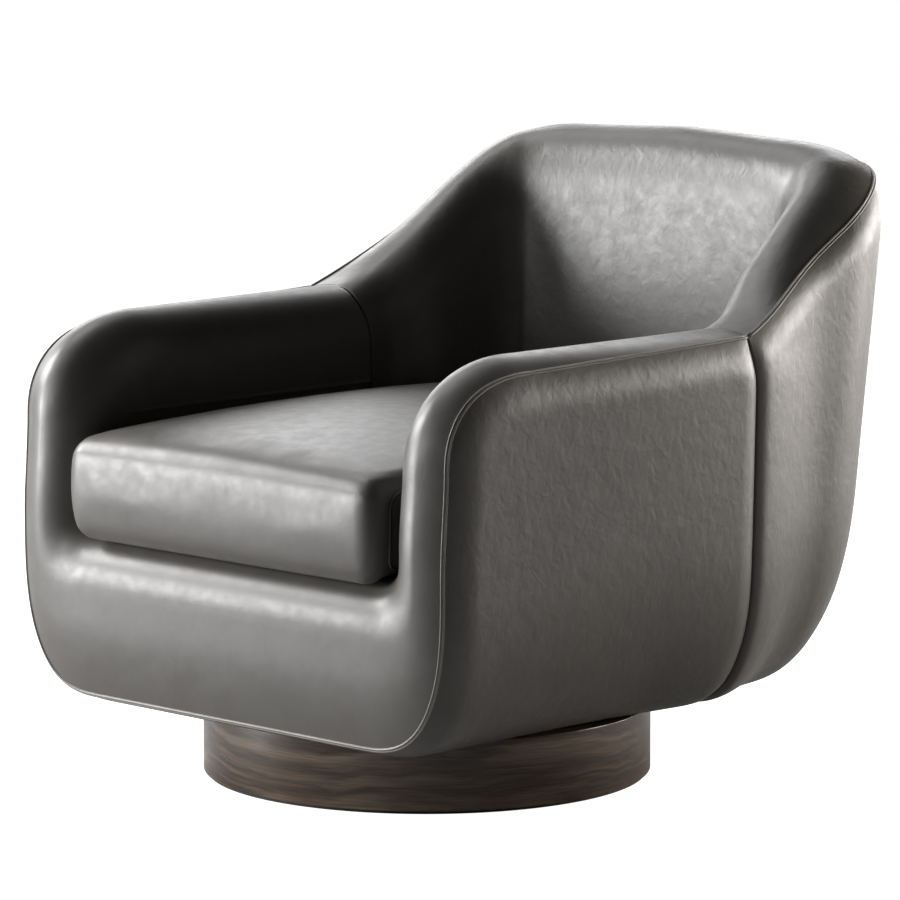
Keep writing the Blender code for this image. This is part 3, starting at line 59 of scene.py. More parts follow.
PANELS = {
    "key_high": {"turn": -159, "away": 3.5, "height": 2.1, "size": 1.3, "power": 175.0},
    "key_low": {"turn": -138, "away": 3.9, "height": 0.7, "size": 1.3, "power": 168.0},
    "key_front": {"turn": -110, "away": 3.9, "height": 1.5, "size": 1.2, "power": 32.0},
    "side_left": {"turn": 165, "away": 3.9, "height": 1.1, "size": 2.0, "power": 35.0},
    "top_left": {"turn": 178, "away": 2.0, "height": 3.6, "size": 1.4, "power": 30.0},
    "fill_right": {"turn": 52, "away": 3.9, "height": 1.0, "size": 1.1, "power": 78.0},
    "fill_rear_right": {"turn": 74, "away": 3.9, "height": 0.8, "size": 1.2, "power": 95.0},
    "fill_rear": {"turn": 102, "away": 3.9, "height": 0.8, "size": 1.2, "power": 35.0},
    "rim_rear": {"turn": 122, "away": 3.5, "height": 2.0, "size": 1.4, "power": 32.0},
    "rim_left": {"turn": 148, "away": 3.5, "height": 1.9, "size": 1.4, "power": 30.0},
    "top_rear": {"turn": 140, "away": 2.0, "height": 3.6, "size": 1.4, "power": 12.0},
}

camera_data = bpy.data.cameras.new("camera")
camera_data.lens = LENS_MM
camera_data.sensor_width = 36.0
camera_data.clip_end = 300.0
camera = bpy.data.objects.new("camera", camera_data)
camera.location = CAMERA_PLACE
camera.rotation_euler = (math.pi / 2 - VIEW_DROP, 0.0, VIEW_TURN)
bpy.context.scene.collection.objects.link(camera)
bpy.context.scene.camera = camera
bpy.context.scene.view_settings.view_transform = "Standard"

for name, panel in PANELS.items():
    data = bpy.data.lights.new(name, "AREA")
    data.shape = "SQUARE"
    data.size = panel["size"]
    data.energy = panel["power"]
    data.color = FILL_COLOR if name.startswith("fill") else KEY_COLOR
    lamp = bpy.data.objects.new(name, data)
    turn = math.radians(panel["turn"])
    lamp.location = (panel["away"] * math.cos(turn), panel["away"] * math.sin(turn), panel["height"])
    lamp.rotation_euler = (AIM - lamp.location).to_track_quat("-Z", "Y").to_euler()
    lamp.visible_camera = False
    bpy.context.scene.collection.objects.link(lamp)

world = bpy.data.worlds.new("surround")
world.use_nodes = True
bpy.context.scene.world = world
sky = world.node_tree.nodes["Background"]
sky.inputs["Color"].default_value = (1.0, 1.0, 1.0, 1.0)
sky.inputs["Strength"].default_value = AMBIENT


def add_node(tree, kind, constants=None, sources=None, **settings):
    """A new node with its settings, the constants on its inputs, and the sources that lead to them."""
    node = tree.nodes.new(kind)
    for name, value in settings.items():
        setattr(node, name, value)
    for name, value in (constants or {}).items():
        node.inputs[name].default_value = value
    for name, source in (sources or {}).items():
        tree.links.new(source, node.inputs[name])
    return node


floor_corners = [(FLOOR_HALF * x, FLOOR_HALF * y, FLOOR_LEVEL)
                 for x, y in ((-1, -1), (1, -1), (1, 1), (-1, 1))]
floor_mesh = bpy.data.meshes.new("floor")
floor_mesh.from_pydata(floor_corners, [], [(0, 1, 2, 3)])
floor = bpy.data.objects.new("floor", floor_mesh)
bpy.context.scene.collection.objects.link(floor)
floor_material = bpy.data.materials.new("pale_floor")
floor_material.use_nodes = True
floor_shader = floor_material.node_tree.nodes["Principled BSDF"]
floor_shader.inputs["Base Color"].default_value = (0.40, 0.40, 0.40, 1.0)
floor_shader.inputs["Roughness"].default_value = 0.9
floor_shader.inputs["Specular IOR Level"].default_value = 0.1
floor_shader.inputs["Emission Color"].default_value = (1.0, 1.0, 1.0, 1.0)
seen = add_node(floor_material.node_tree, "ShaderNodeLightPath").outputs["Is Camera Ray"]
floor_material.node_tree.links.new(seen, floor_shader.inputs["Emission Strength"])
floor_mesh.materials.append(floor_material)


# The plinth: a drum of bent board, wrapped in smoked walnut veneer whose grain runs round it, with finely
# eased edges under a dull lacquer. Inside it are a floor board, a core ring and a top board of birch
# plywood, glued in, and under it a felt disc that keeps it off the floor.
DRUM_SIDES = 240
DRUM_WALL = 0.018
DRUM_EDGE = 0.0018
FELT_EDGE = 0.0010
WOOD_DARK = (0.046, 0.030, 0.021)
WOOD_MID = (0.125, 0.087, 0.060)
WOOD_LIGHT = (0.225, 0.172, 0.127)
drum_low, drum_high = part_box("plinth_drum")
felt_low, felt_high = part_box("felt_pad")


def shader_nodes(name, color, roughness, metallic=0.0):
    """A new material with its tree and its main shader."""
    material = bpy.data.materials.new(name)
    material.use_nodes = True
    shader = material.node_tree.nodes["Principled BSDF"]
    shader.inputs["Base Color"].default_value = (*color, 1.0)
    shader.inputs["Roughness"].default_value = roughness
    shader.inputs["Metallic"].default_value = metallic
    return material, material.node_tree, shader


def plain_texture(tree, kind, constants, output, **settings):
    """A texture on the piece's own coordinates, in metres."""
    place = add_node(tree, "ShaderNodeTexCoord").outputs["Object"]
    return add_node(tree, kind, constants, {"Vector": place}, **settings).outputs[output]


def noise_at(tree, place, stretch, sizes):
    """Noise on given coordinates, which are stretched first."""
    mapping = add_node(tree, "ShaderNodeMapping", {"Scale": stretch}, {"Vector": place})
    return add_node(tree, "ShaderNodeTexNoise", sizes, {"Vector": mapping.outputs["Vector"]}).outputs["Fac"]


def noise_texture(tree, scale, detail, roughness=0.5, distortion=0.0, stretch=(1.0, 1.0, 1.0)):
    """Noise on the piece's own coordinates, in metres, stretched along an axis if asked."""
    place = add_node(tree, "ShaderNodeTexCoord").outputs["Object"]
    sizes = {"Scale": scale, "Detail": detail, "Roughness": roughness, "Distortion": distortion}
    return noise_at(tree, place, stretch, sizes)


def ramp(tree, source, stops):
    """A colour ramp from (place, colour) stops."""
    node = add_node(tree, "ShaderNodeValToRGB", {}, {"Fac": source})
    while len(node.color_ramp.elements) < len(stops):
        node.color_ramp.elements.new(0.5)
    for element, (place, color) in zip(node.color_ramp.elements, stops):
        element.position = place
        element.color = (*color, 1.0)
    return node.outputs["Color"]


def span(tree, source, low, high, to_low, to_high):
    """A value taken from one range to another."""
    ends = {"From Min": low, "From Max": high, "To Min": to_low, "To Max": to_high}
    return add_node(tree, "ShaderNodeMapRange", ends, {"Value": source}).outputs["Result"]


def folded(tree, source, limit):
    """A value that runs up to a limit and back again, over and over."""
    return add_node(tree, "ShaderNodeMath", {1: limit}, {0: source}, operation="PINGPONG").outputs["Value"]


def bump(tree, source, distance, strength=1.0, under=None):
    """The normal of a relief, which may lie over another one."""
    sources = {"Height": source} if under is None else {"Height": source, "Normal": under}
    sizes = {"Distance": distance, "Strength": strength}
    return add_node(tree, "ShaderNodeBump", sizes, sources).outputs["Normal"]


def lead(tree, shader, color, normal, roughness=None):
    """Lead a colour, a relief and, where it varies, a roughness to the shader."""
    tree.links.new(color, shader.inputs["Base Color"])
    tree.links.new(normal, shader.inputs["Normal"])
    if roughness is not None:
        tree.links.new(roughness, shader.inputs["Roughness"])


def toned(tree, shader, source, stops, relief):
    """Colour a shader by a texture and raise its relief with the same one."""
    lead(tree, shader, ramp(tree, source, stops), bump(tree, source, relief))


def turned_mesh(name, section, sides):
    """A section of (radius, height) points turned about the axis, with a UV map that unrolls it in metres.
    A section that starts and ends on the axis closes at its poles, and any other joins up into a ring."""
    bm = bmesh.new()
    unrolled = bm.loops.layers.uv.new("unrolled")
    poles = {index: bm.verts.new((0, 0, z)) for index, (r, z) in enumerate(section) if r == 0.0}
    rings = []
    for step in range(sides):
        angle = 2 * math.pi * step / sides + math.pi / 2
        rings.append([poles.get(index) or bm.verts.new((r * math.cos(angle), r * math.sin(angle), z))
                      for index, (r, z) in enumerate(section)])
    widest = max(r for r, _ in section)
    runs = [0.0]
    for (r, z), (next_r, next_z) in zip(section, section[1:] + section[:1]):
        runs.append(runs[-1] + math.hypot(next_r - r, next_z - z))
    count = len(section) - 1 if poles else len(section)
    for step in range(sides):
        first, second = rings[step], rings[(step + 1) % sides]
        for index in range(count):
            other = (index + 1) % len(section)
            corners = [(first[index], step, index), (first[other], step, index + 1),
                       (second[other], step + 1, index + 1), (second[index], step + 1, index)]
            kept = []
            for corner in corners:
                if corner[0] not in [before[0] for before in kept]:
                    kept.append(corner)
            face = bm.faces.new([corner[0] for corner in kept])
            for loop, (_, turn, place) in zip(face.loops, kept):
                loop[unrolled].uv = (2 * math.pi * widest * turn / sides, runs[place])
    return smooth_mesh(name, bm, 40)


def smooth_mesh(name, bm, sharp):
    """The mesh of closed forms, faces outwards, with edges past an angle in degrees kept sharp."""
    bmesh.ops.recalc_face_normals(bm, faces=bm.faces)
    mesh = bpy.data.meshes.new(name)
    bm.to_mesh(mesh)
    bm.free()
    mesh.shade_smooth()
    mesh.set_sharp_from_angle(angle=math.radians(sharp))
    return mesh


def add_piece(name, mesh, material, body, stands_for=()):
    """Put a finished mesh in the scene on its body."""
    piece = bpy.data.objects.new(name, mesh)
    bpy.context.scene.collection.objects.link(piece)
    mesh.materials.clear()
    mesh.materials.append(material)
    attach(piece, body)
    if stands_for:
        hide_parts(*stands_for)
    return piece


def refinish(names, material):
    """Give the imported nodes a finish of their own."""
    for name in names:
        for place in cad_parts[name].material_slots:
            place.material = material


def rounded_corner(centre_r, centre_z, radius, start, end, steps=6):
    """Points of a section's rounded corner, from one angle in degrees to another."""
    angles = np.radians(np.linspace(start, end, steps))
    return [(centre_r + radius * math.cos(angle), centre_z + radius * math.sin(angle)) for angle in angles]


def veneer_material(name):
    """Smoked walnut: long wavy figure with knots, fine pores along the grain and a low sheen."""
    material, tree, shader = shader_nodes(name, WOOD_MID, 0.42)
    place = add_node(tree, "ShaderNodeUVMap", uv_map="unrolled").outputs["UV"]
    wander = add_node(tree, "ShaderNodeTexNoise", {"Scale": 5.0, "Detail": 3.0}, {"Vector": place})
    along = add_node(tree, "ShaderNodeMapping", {"Scale": (0.7, 11.0, 1.0)}, {"Vector": place})
    bent = add_node(tree, "ShaderNodeVectorMath", {1: (0.20, 0.60, 0.0)},
                    {0: wander.outputs["Color"], 2: along.outputs["Vector"]}, operation="MULTIPLY_ADD")
    figure = add_node(tree, "ShaderNodeTexNoise", {"Scale": 3.0, "Detail": 5.0, "Roughness": 0.55},
                      {"Vector": bent.outputs["Vector"]})
    rings = add_node(tree, "ShaderNodeMath", {1: 4.0}, {0: figure.outputs["Fac"]}, operation="MULTIPLY")
    bands = folded(tree, rings.outputs["Value"], 1.0)
    tone = ramp(tree, bands, [(0.0, WOOD_DARK), (0.45, WOOD_MID), (1.0, WOOD_LIGHT)])
    pores = noise_at(tree, place, (14.0, 420.0, 1.0), {"Scale": 1.0, "Detail": 5.0, "Roughness": 0.7})
    streaks = ramp(tree, pores, [(0.35, (0.60, 0.60, 0.60)), (0.62, (1.12, 1.12, 1.12))])
    color = add_node(tree, "ShaderNodeMix", data_type="RGBA", blend_type="MULTIPLY")
    color.inputs["Factor"].default_value = 1.0
    tree.links.new(tone, color.inputs["A"])
    tree.links.new(streaks, color.inputs["B"])
    dull = span(tree, pores, 0.3, 0.7, 0.28, 0.20)
    lead(tree, shader, color.outputs["Result"], bump(tree, pores, 0.00012, 0.6), dull)
    return material


drum_section = rounded_corner(drum_high.x - DRUM_EDGE, drum_high.z - DRUM_EDGE, DRUM_EDGE, 90, 0)
drum_section += rounded_corner(drum_high.x - DRUM_EDGE, drum_low.z + DRUM_EDGE, DRUM_EDGE, 0, -90)
drum_section += [(drum_high.x - DRUM_WALL, drum_low.z), (drum_high.x - DRUM_WALL, drum_high.z)]
add_piece("plinth_drum_veneer", turned_mesh("plinth_drum_veneer", drum_section, DRUM_SIDES),
          veneer_material("smoked_veneer_drum"), "plinth", ("plinth_drum",))

felt_material, tree, shader = shader_nodes("pressed_felt", (0.045, 0.044, 0.043), 0.95)
fibres = noise_texture(tree, 900.0, 4.0, 0.7)
toned(tree, shader, fibres, [(0.3, (0.028, 0.027, 0.026)), (0.7, (0.070, 0.068, 0.066))], 0.0004)
felt_section = [(0.0, felt_low.z), (felt_high.x * 0.5, felt_low.z)]
felt_section += rounded_corner(felt_high.x - FELT_EDGE, felt_low.z + FELT_EDGE, FELT_EDGE, -90, 0, 4)
felt_section += rounded_corner(felt_high.x - FELT_EDGE, felt_high.z - FELT_EDGE, FELT_EDGE, 0, 90, 4)
felt_section += [(felt_high.x * 0.5, felt_high.z), (0.0, felt_high.z)]
felt_mesh = turned_mesh("felt_disc", felt_section, DRUM_SIDES)
felt = add_piece("felt_disc", felt_mesh, felt_material, "plinth", ("felt_pad",))

PLY_THICKNESS = 0.0015


def plywood_material(name, layer_axis):
    """Birch plywood: pale faces with a fine grain, and edges that show the plies across layer_axis."""
    material, tree, shader = shader_nodes(name, (0.52, 0.38, 0.24), 0.62)
    stretch = [14.0, 14.0, 14.0]
    stretch[(layer_axis + 1) % 3] = 1.2
    grain = noise_texture(tree, 14.0, 5.0, 0.65, 0.3, stretch)
    pale = [(0.25, (0.40, 0.27, 0.16)), (0.5, (0.54, 0.40, 0.25)), (0.8, (0.62, 0.48, 0.32))]
    face = ramp(tree, grain, pale)
    place = add_node(tree, "ShaderNodeTexCoord").outputs["Object"]
    parts = add_node(tree, "ShaderNodeSeparateXYZ", {}, {"Vector": place})
    plies = span(tree, folded(tree, parts.outputs[layer_axis], PLY_THICKNESS), 0.0, PLY_THICKNESS, 0.0, 1.0)
    edge = ramp(tree, plies, [(0.44, (0.60, 0.45, 0.29)), (0.56, (0.27, 0.17, 0.10))])
    normal = add_node(tree, "ShaderNodeNewGeometry").outputs["Normal"]
    facing = add_node(tree, "ShaderNodeSeparateXYZ", {}, {"Vector": normal})
    amount = add_node(tree, "ShaderNodeMath", {}, {0: facing.outputs[layer_axis]}, operation="ABSOLUTE")
    choose = add_node(tree, "ShaderNodeMix", data_type="RGBA")
    tree.links.new(span(tree, amount.outputs["Value"], 0.4, 0.6, 0.0, 1.0), choose.inputs["Factor"])
    tree.links.new(edge, choose.inputs["A"])
    tree.links.new(face, choose.inputs["B"])
    lead(tree, shader, choose.outputs["Result"], bump(tree, grain, 0.0002))
    return material


flat_plywood = plywood_material("plywood_flat", 2)
refinish(["plinth_floor", "plinth_core", "plinth_top_board"], flat_plywood)


# The swivel bearing: two pressed steel races, zinc plated, with polished balls between them in a moulded
# cage. Three screws hold the lower race to the plinth's top board and three hold the upper one to the tub.
def metal_material(name, color, roughness, wear):
    """Worn metal: a faint cloud in its colour, and fine marks that change how it shines."""
    material, tree, shader = shader_nodes(name, color, roughness, 1.0)
    darker = tuple(value * 0.82 for value in color)
    tone = ramp(tree, noise_texture(tree, 45.0, 5.0, 0.6), [(0.3, darker), (0.7, color)])
    marks = noise_texture(tree, 260.0, 6.0, 0.7, 0.8)
    shine = span(tree, marks, 0.3, 0.7, roughness - wear, roughness + wear)
    lead(tree, shader, tone, bump(tree, marks, 0.00003), shine)
    return material


zinc = metal_material("zinc_steel_plated", (0.60, 0.60, 0.58), 0.34, 0.10)
refinish(["bearing_lower_race", "bearing_upper_race"], zinc)
refinish([f"{end}_screw_{index}" for end in ("lower", "upper") for index in (1, 2, 3)], zinc)
polished = metal_material("ball_steel_polished", (0.72, 0.72, 0.72), 0.10, 0.04)
refinish([f"ball_{index}" for index in range(1, 7)], polished)
cage_material, tree, shader = shader_nodes("cage_plastic_moulded", (0.75, 0.74, 0.70), 0.48)
flow = noise_texture(tree, 35.0, 3.0)
toned(tree, shader, flow, [(0.3, (0.68, 0.67, 0.62)), (0.7, (0.77, 0.76, 0.72))], 0.0001)
refinish(["ball_cage"], cage_material)


# The seat frame: a disc and two crossbars over the bearing carry a platform, and plywood rails stand on it,
# glued and stapled. Shaped boards fill the arms, and a sill, two leaning posts and a rail form the back.
upright_plywood = {
    plywood_material("plywood_across_y", 1): [
        "seat_rail_front", "seat_rail_rear", "back_sill", "back_post_left", "back_post_right",
        "back_top_rail"],
    plywood_material("plywood_across_x", 0): [
        "seat_rail_left", "seat_rail_right", "side_frame_left", "side_frame_right"],
}
refinish(["mounting_disc", "crossbar_front", "crossbar_rear", "seat_platform"], flat_plywood)
for material, names in upright_plywood.items():
    refinish(names, material)


# The seat's webbing: elastic straps, five in all, woven with ribbed edges, pulled tight over the rails and
# stapled down. The cross straps lie over the long ones.
STRAP_RIB_PITCH = 0.0024
STRAP_RIB_RISE = 0.00012
STRAP_NAMES = ("strap_long_1", "strap_long_2", "strap_long_3", "strap_cross_1", "strap_cross_2")


def strap_mesh(name, low, high):
    """A flat strap with fine ribs along it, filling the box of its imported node."""
    along, across = (1, 0) if high.y - low.y > high.x - low.x else (0, 1)
    columns = max(int((high[across] - low[across]) / STRAP_RIB_PITCH) * 4, 8)
    lengths = np.linspace(low[along], high[along], 40)
    widths = np.linspace(low[across], high[across], columns + 1)
    upper = np.zeros((len(lengths), len(widths), 3))
    upper[..., along] = lengths[:, None]
    upper[..., across] = widths[None]
    ribs = np.cos((widths - low[across]) / STRAP_RIB_PITCH * 2 * math.pi)
    upper[..., 2] = high.z - STRAP_RIB_RISE + STRAP_RIB_RISE * ribs
    lower = upper.copy()
    lower[..., 2] = low.z + STRAP_RIB_RISE - STRAP_RIB_RISE * ribs
    if along == 0:
        upper, lower = upper[::-1], lower[::-1]
    return closed_pad(name, upper, lower)


def closed_pad(name, upper, lower):
    """A closed mesh between two grids of the same shape, with quads on all sides."""
    rows, columns = upper.shape[:2]
    count = rows * columns
    index = np.arange(count).reshape(rows, columns)
    quads = np.stack([index[:-1, :-1], index[1:, :-1], index[1:, 1:], index[:-1, 1:]], -1).reshape(-1, 4)
    ring = np.concatenate([index[:, 0], index[-1, 1:], index[-2::-1, -1], index[0, -2:0:-1]])
    following = np.roll(ring, -1)
    rim = np.stack([ring, ring + count, following + count, following], -1)
    faces = np.concatenate([quads, quads[:, ::-1] + count, rim[:, ::-1]])
    points = np.concatenate([upper.reshape(-1, 3), lower.reshape(-1, 3)])
    mesh = bpy.data.meshes.new(name)
    mesh.from_pydata(points.tolist(), [], faces.tolist())
    mesh.validate()
    mesh.shade_smooth()
    return mesh


strap_material, tree, shader = shader_nodes("webbing_woven", (0.09, 0.08, 0.07), 0.85)
weave = plain_texture(tree, "ShaderNodeTexWave", {"Scale": 260.0, "Distortion": 1.5}, "Fac",
                      wave_type="BANDS", bands_direction="DIAGONAL")
toned(tree, shader, weave, [(0.2, (0.045, 0.040, 0.035)), (0.8, (0.16, 0.14, 0.12))], 0.0003)
for strap_name in STRAP_NAMES:
    strap = strap_mesh(strap_name + "_woven", *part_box(strap_name))
    add_piece(strap_name + "_woven", strap, strap_material, "tub", (strap_name,))


# The tub's form: the lines that the upholsterer works to. Two arms and the front rail are one rolled
# band, the wings and the back are a second, taller roll, and the outer sides fall straight, then tuck
# under. Each cover below is cut from these surfaces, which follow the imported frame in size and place.
PLINTH_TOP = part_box("plinth_drum")[1].z
UNDERSIDE_Z = PLINTH_TOP + 0.006
SEAM_Y = -0.318
SEAM_LEAN = 0.006
SEAM_LEAN_FROM = 0.30
SEAM_LEAN_RUN = 0.12
RIM_Z = 0.530
SIDE_HALF_FRONT = 0.353
SIDE_HALF_REAR = 0.366
SIDE_FLARE = 0.020
SIDE_WIDENING_RUN = 0.42
TUCK_START = (0.285, 0.330)
TUCK_WIDTH = (0.140, 0.135)
TUCK_POWER = (2.72, 2.48)
TUCK_CHANGE_RUN = 0.35
SEAM_BOXING = 0.50
SEAM_BOXING_REACH = 0.15
UNDERLAP = 0.003
BACK_END_LEVEL = 1.9
PILLOW_DEPTH = 0.013
PILLOW_REACH = 0.045
SIDE_SEAM_DEPTH = 0.006
SIDE_SEAM_REACH = 0.020
VALLEY_Y = 0.155
BACK_Y = 0.485
BACK_REFERENCE_Z = 0.450
BACK_LEAN = 0.115
BACK_BOW = 0.008
BACK_CORNER_X = 0.145
BACK_CORNER_Y = 0.138
BACK_CORNER_POWER = 2.05
BACK_CORNER_SHARES = (0.30, 0.72)
BACK_LEVEL_RUN = 0.10
PLAN_STEP = 0.012
PLAN_Z = 0.6
WING_DRAW_IN = 0.022
WING_DRAW_REACH = 0.160
WING_TAPER = 0.05
ARM_SEAM_Z = (0.5125, 0.5235)
ARM_TOP_Z = 0.530
ARM_TOP_ROLL = 0.56
ARM_TOP_ROLL_DEPTH = 0.062
WING_SHOULDER_RUN = 0.27
WING_SHOULDER_Z = 0.664
WING_SHOULDER_SLOPE = 0.47
WING_START_SLOPE = 0.35
BACK_SEAM_RUN = 0.50
BACK_SEAM_Z = 0.692
WING_RUNS = (0.0, 0.04, 0.10, 0.17, 0.24, 0.34, 0.44, 0.62)
WING_CROWNS = (0.006, 0.005, 0.019, 0.033, 0.032, 0.021, 0.024, 0.031)
WING_WIDTHS = (0.0, 0.090, 0.096, 0.090, 0.094, 0.104, 0.106, 0.106)
WING_PEAKS = (0.50, 0.53, 0.54, 0.54, 0.53, 0.52, 0.50, 0.50)
WING_ROLL_DEPTH = 0.066
ARM_THICKNESS = 0.083
ARM_INNER_X = SIDE_HALF_FRONT - PILLOW_DEPTH - ARM_THICKNESS
ARM_CORNER_PULL = 0.0075
WALL_LEAN = 0.028
WALL_LEAN_RUN = 0.10
CORNER_RUN = 0.295
CORNER_FILL = 0.004
CORNER_FILL_REACH = 0.160
CORNER_EASE_REACH = 0.200
CORNER_EASE_PASSES = 160
ARM_CORNER_Y = -0.190
ARM_CORNER_Z = 0.415
ARM_CORNER_POWER = 2.25
SEAM_SLIDE = (0.0105, 0.003)
SEAM_SLIDE_TOPS = (0.523, 0.300)
SEAM_SLIDE_RUNS = (0.06, 0.12)
SEAM_SLIDE_REACH = 0.15
FRONT_CROWN = 0.013
FRONT_ROLL_DEPTH = 0.050
RAIL_ROLL = 0.32
RAIL_PEAK = 0.45
ARM_FRONT_ROLL = 0.58
ARM_PEAK = 0.50
RAIL_TOP_Z = 0.286
RAIL_CORNER_RADIUS = 0.036
RAIL_END_SHARE = 0.98
ROLL_POWER = 2.2
BAND_WALL_END_Y = SEAM_Y + 0.090
WING_WALL_END_Z = RAIL_TOP_Z - 0.016
PANEL_GRADING = 0.55
LIP_DEPTH_COLUMNS = 12
MIRROR = np.array([-1.0, 1.0, 1.0])
SHARED_POINTS_PER_METRE = 2e4

# Stations along half of the tub, and rows across a roll.
RAIL_STEPS = 14
RAIL_CORNER_STEPS = 36
ARM_FRONT_STEPS = 16
ARM_CORNER_STEPS = 36
ARM_TOP_STEPS = 40
WING_STEPS = 96
FACE_STEPS = 12
ROLL_STEPS = 20
WALL_STEPS = 8


def ease(value):
    value = np.clip(value, 0.0, 1.0)
    return value * value * (3 - 2 * value)


def hermite(value, start, end, start_slope, end_slope, run):
    """A cubic from start to end over a run, with the slopes given at both ends."""
    share = np.clip(value / run, 0.0, 1.0)
    return ((2 * share**3 - 3 * share**2 + 1) * start + (share**3 - 2 * share**2 + share) * run * start_slope
            + (3 * share**2 - 2 * share**3) * end + (share**3 - share**2) * run * end_slope)


def girth(y, level):
    """Inset and height on the outer side: level 0 to 1 falls straight, 1 to 2 tucks under, then runs flat."""
    rear = ease((y - SEAM_Y) / TUCK_CHANGE_RUN)
    start = TUCK_START[0] + (TUCK_START[1] - TUCK_START[0]) * rear
    angle = np.clip(level - 1, 0.0, 1.0) * math.pi / 2
    boxing = SEAM_BOXING * ease(1 - np.abs(y - VALLEY_Y) / SEAM_BOXING_REACH)
    powers = (TUCK_POWER[0], TUCK_POWER[1] + boxing)
    cosine = np.maximum(np.cos(angle), 0.0)
    insets = [width * (1 - cosine ** (2 / power)) for width, power in zip(TUCK_WIDTH, powers)]
    drops = [np.sin(angle) ** (2 / power) for power in powers]
    inset = insets[0] + (insets[1] - insets[0]) * rear + UNDERLAP * np.maximum(level - 2, 0.0)
    drop = drops[0] + (drops[1] - drops[0]) * rear
    straight = RIM_Z - (RIM_Z - start) * level
    return inset, np.where(level < 1, straight, start - (start - UNDERSIDE_Z) * drop)


def girth_level(y, z):
    """The level of a height above the tuck."""
    start = TUCK_START[0] + (TUCK_START[1] - TUCK_START[0]) * ease((y - SEAM_Y) / TUCK_CHANGE_RUN)
    return (RIM_Z - z) / (RIM_Z - start)


def girth_normal(y, level, step=0.004):
    """Outward direction as (outward, upward) parts."""
    inset_above, height_above = girth(y, level - step)
    inset_below, height_below = girth(y, level + step)
    across = inset_below - inset_above
    down = height_above - height_below
    length = np.hypot(across, down)
    return down / length, -across / length


def side_half_width(y, z):
    share = ease((y - SEAM_Y) / SIDE_WIDENING_RUN)
    return SIDE_HALF_FRONT + (SIDE_HALF_REAR - SIDE_HALF_FRONT + SIDE_FLARE * (z - BACK_REFERENCE_Z)) * share


def side_point(y, level, sunk=0.0):
    """The outer side at +X, sunk below its surface by a depth."""
    inset, height = girth(y, level)
    outward, upward = girth_normal(y, level)
    x = side_half_width(y, height) - inset - sunk * outward
    return np.stack([x, y + 0 * x, height - sunk * upward], -1)


def back_plan(share, z):
    """Plan point and inward direction from the side seam (share 0) to the back's centre (share 1)."""
    half = side_half_width(np.float64(VALLEY_Y), z)
    back = BACK_Y + BACK_LEAN * (z - BACK_REFERENCE_Z)
    centre_x = half - BACK_CORNER_X
    centre_y = back - BACK_BOW - BACK_CORNER_Y
    turn_start, turn_end = BACK_CORNER_SHARES

    def place(value):
        side_y = VALLEY_Y + (centre_y - VALLEY_Y) * np.clip(value / turn_start, 0, 1)
        angle = np.clip((value - turn_start) / (turn_end - turn_start), 0, 1) * math.pi / 2
        corner_x = centre_x + BACK_CORNER_X * np.cos(angle) ** (2 / BACK_CORNER_POWER)
        corner_y = centre_y + BACK_CORNER_Y * np.sin(angle) ** (2 / BACK_CORNER_POWER)
        rest = np.clip((value - turn_end) / (1 - turn_end), 0, 1)
        x = np.where(value < turn_start, half, np.where(value < turn_end, corner_x, centre_x * (1 - rest)))
        y = np.where(value < turn_start, side_y,
                     np.where(value < turn_end, corner_y, back - BACK_BOW * (1 - rest) ** 2))
        return x, y

    x, y = place(share)
    before_x, before_y = place(np.maximum(share - PLAN_STEP, 0))
    after_x, after_y = place(np.minimum(share + PLAN_STEP, 1))
    length = np.hypot(after_x - before_x, after_y - before_y)
    behind = np.maximum(y - VALLEY_Y, 0)
    drawn = WING_DRAW_IN * ease(behind / WING_DRAW_REACH) + WING_TAPER * behind
    return x * (1 - drawn / half), y, (before_y - after_y) / length, (after_x - before_x) / length


PLAN_SHARES = np.linspace(0, 1, 201)
plan_x, plan_y, _, _ = back_plan(PLAN_SHARES, PLAN_Z)
plan_runs = np.concatenate([[0.0], np.cumsum(np.hypot(np.diff(plan_x), np.diff(plan_y)))])


def back_run(share):
    """Distance along the back's plan from the side seam."""
    return float(np.interp(share, PLAN_SHARES, plan_runs))


def back_point(share, level, sunk=0.0):
    """The outer back, sunk below its surface by a depth."""
    y_along = VALLEY_Y + np.interp(share, PLAN_SHARES, plan_runs)
    inset, height = girth(y_along, level)
    outward, upward = girth_normal(y_along, level)
    x, y, in_x, in_y = back_plan(share, height)
    inward = inset + sunk * outward
    return np.stack([x + in_x * inward, y + in_y * inward, height - sunk * upward], -1)


def back_seam_z(run):
    """Height of the seam along the wing and the top of the back."""
    if run < WING_SHOULDER_RUN:
        return float(hermite(run, ARM_SEAM_Z[1], WING_SHOULDER_Z, WING_START_SLOPE, WING_SHOULDER_SLOPE,
                             WING_SHOULDER_RUN))
    return float(hermite(run - WING_SHOULDER_RUN, WING_SHOULDER_Z, BACK_SEAM_Z, WING_SHOULDER_SLOPE, 0.0,
                         BACK_SEAM_RUN - WING_SHOULDER_RUN))


def smooth_through(value, places, values):
    """A smooth curve through a few chosen values."""
    index = int(np.clip(np.searchsorted(places, value) - 1, 0, len(places) - 2))
    slopes = np.gradient(np.array(values), np.array(places))
    return float(hermite(value - places[index], values[index], values[index + 1], slopes[index],
                         slopes[index + 1], places[index + 1] - places[index]))


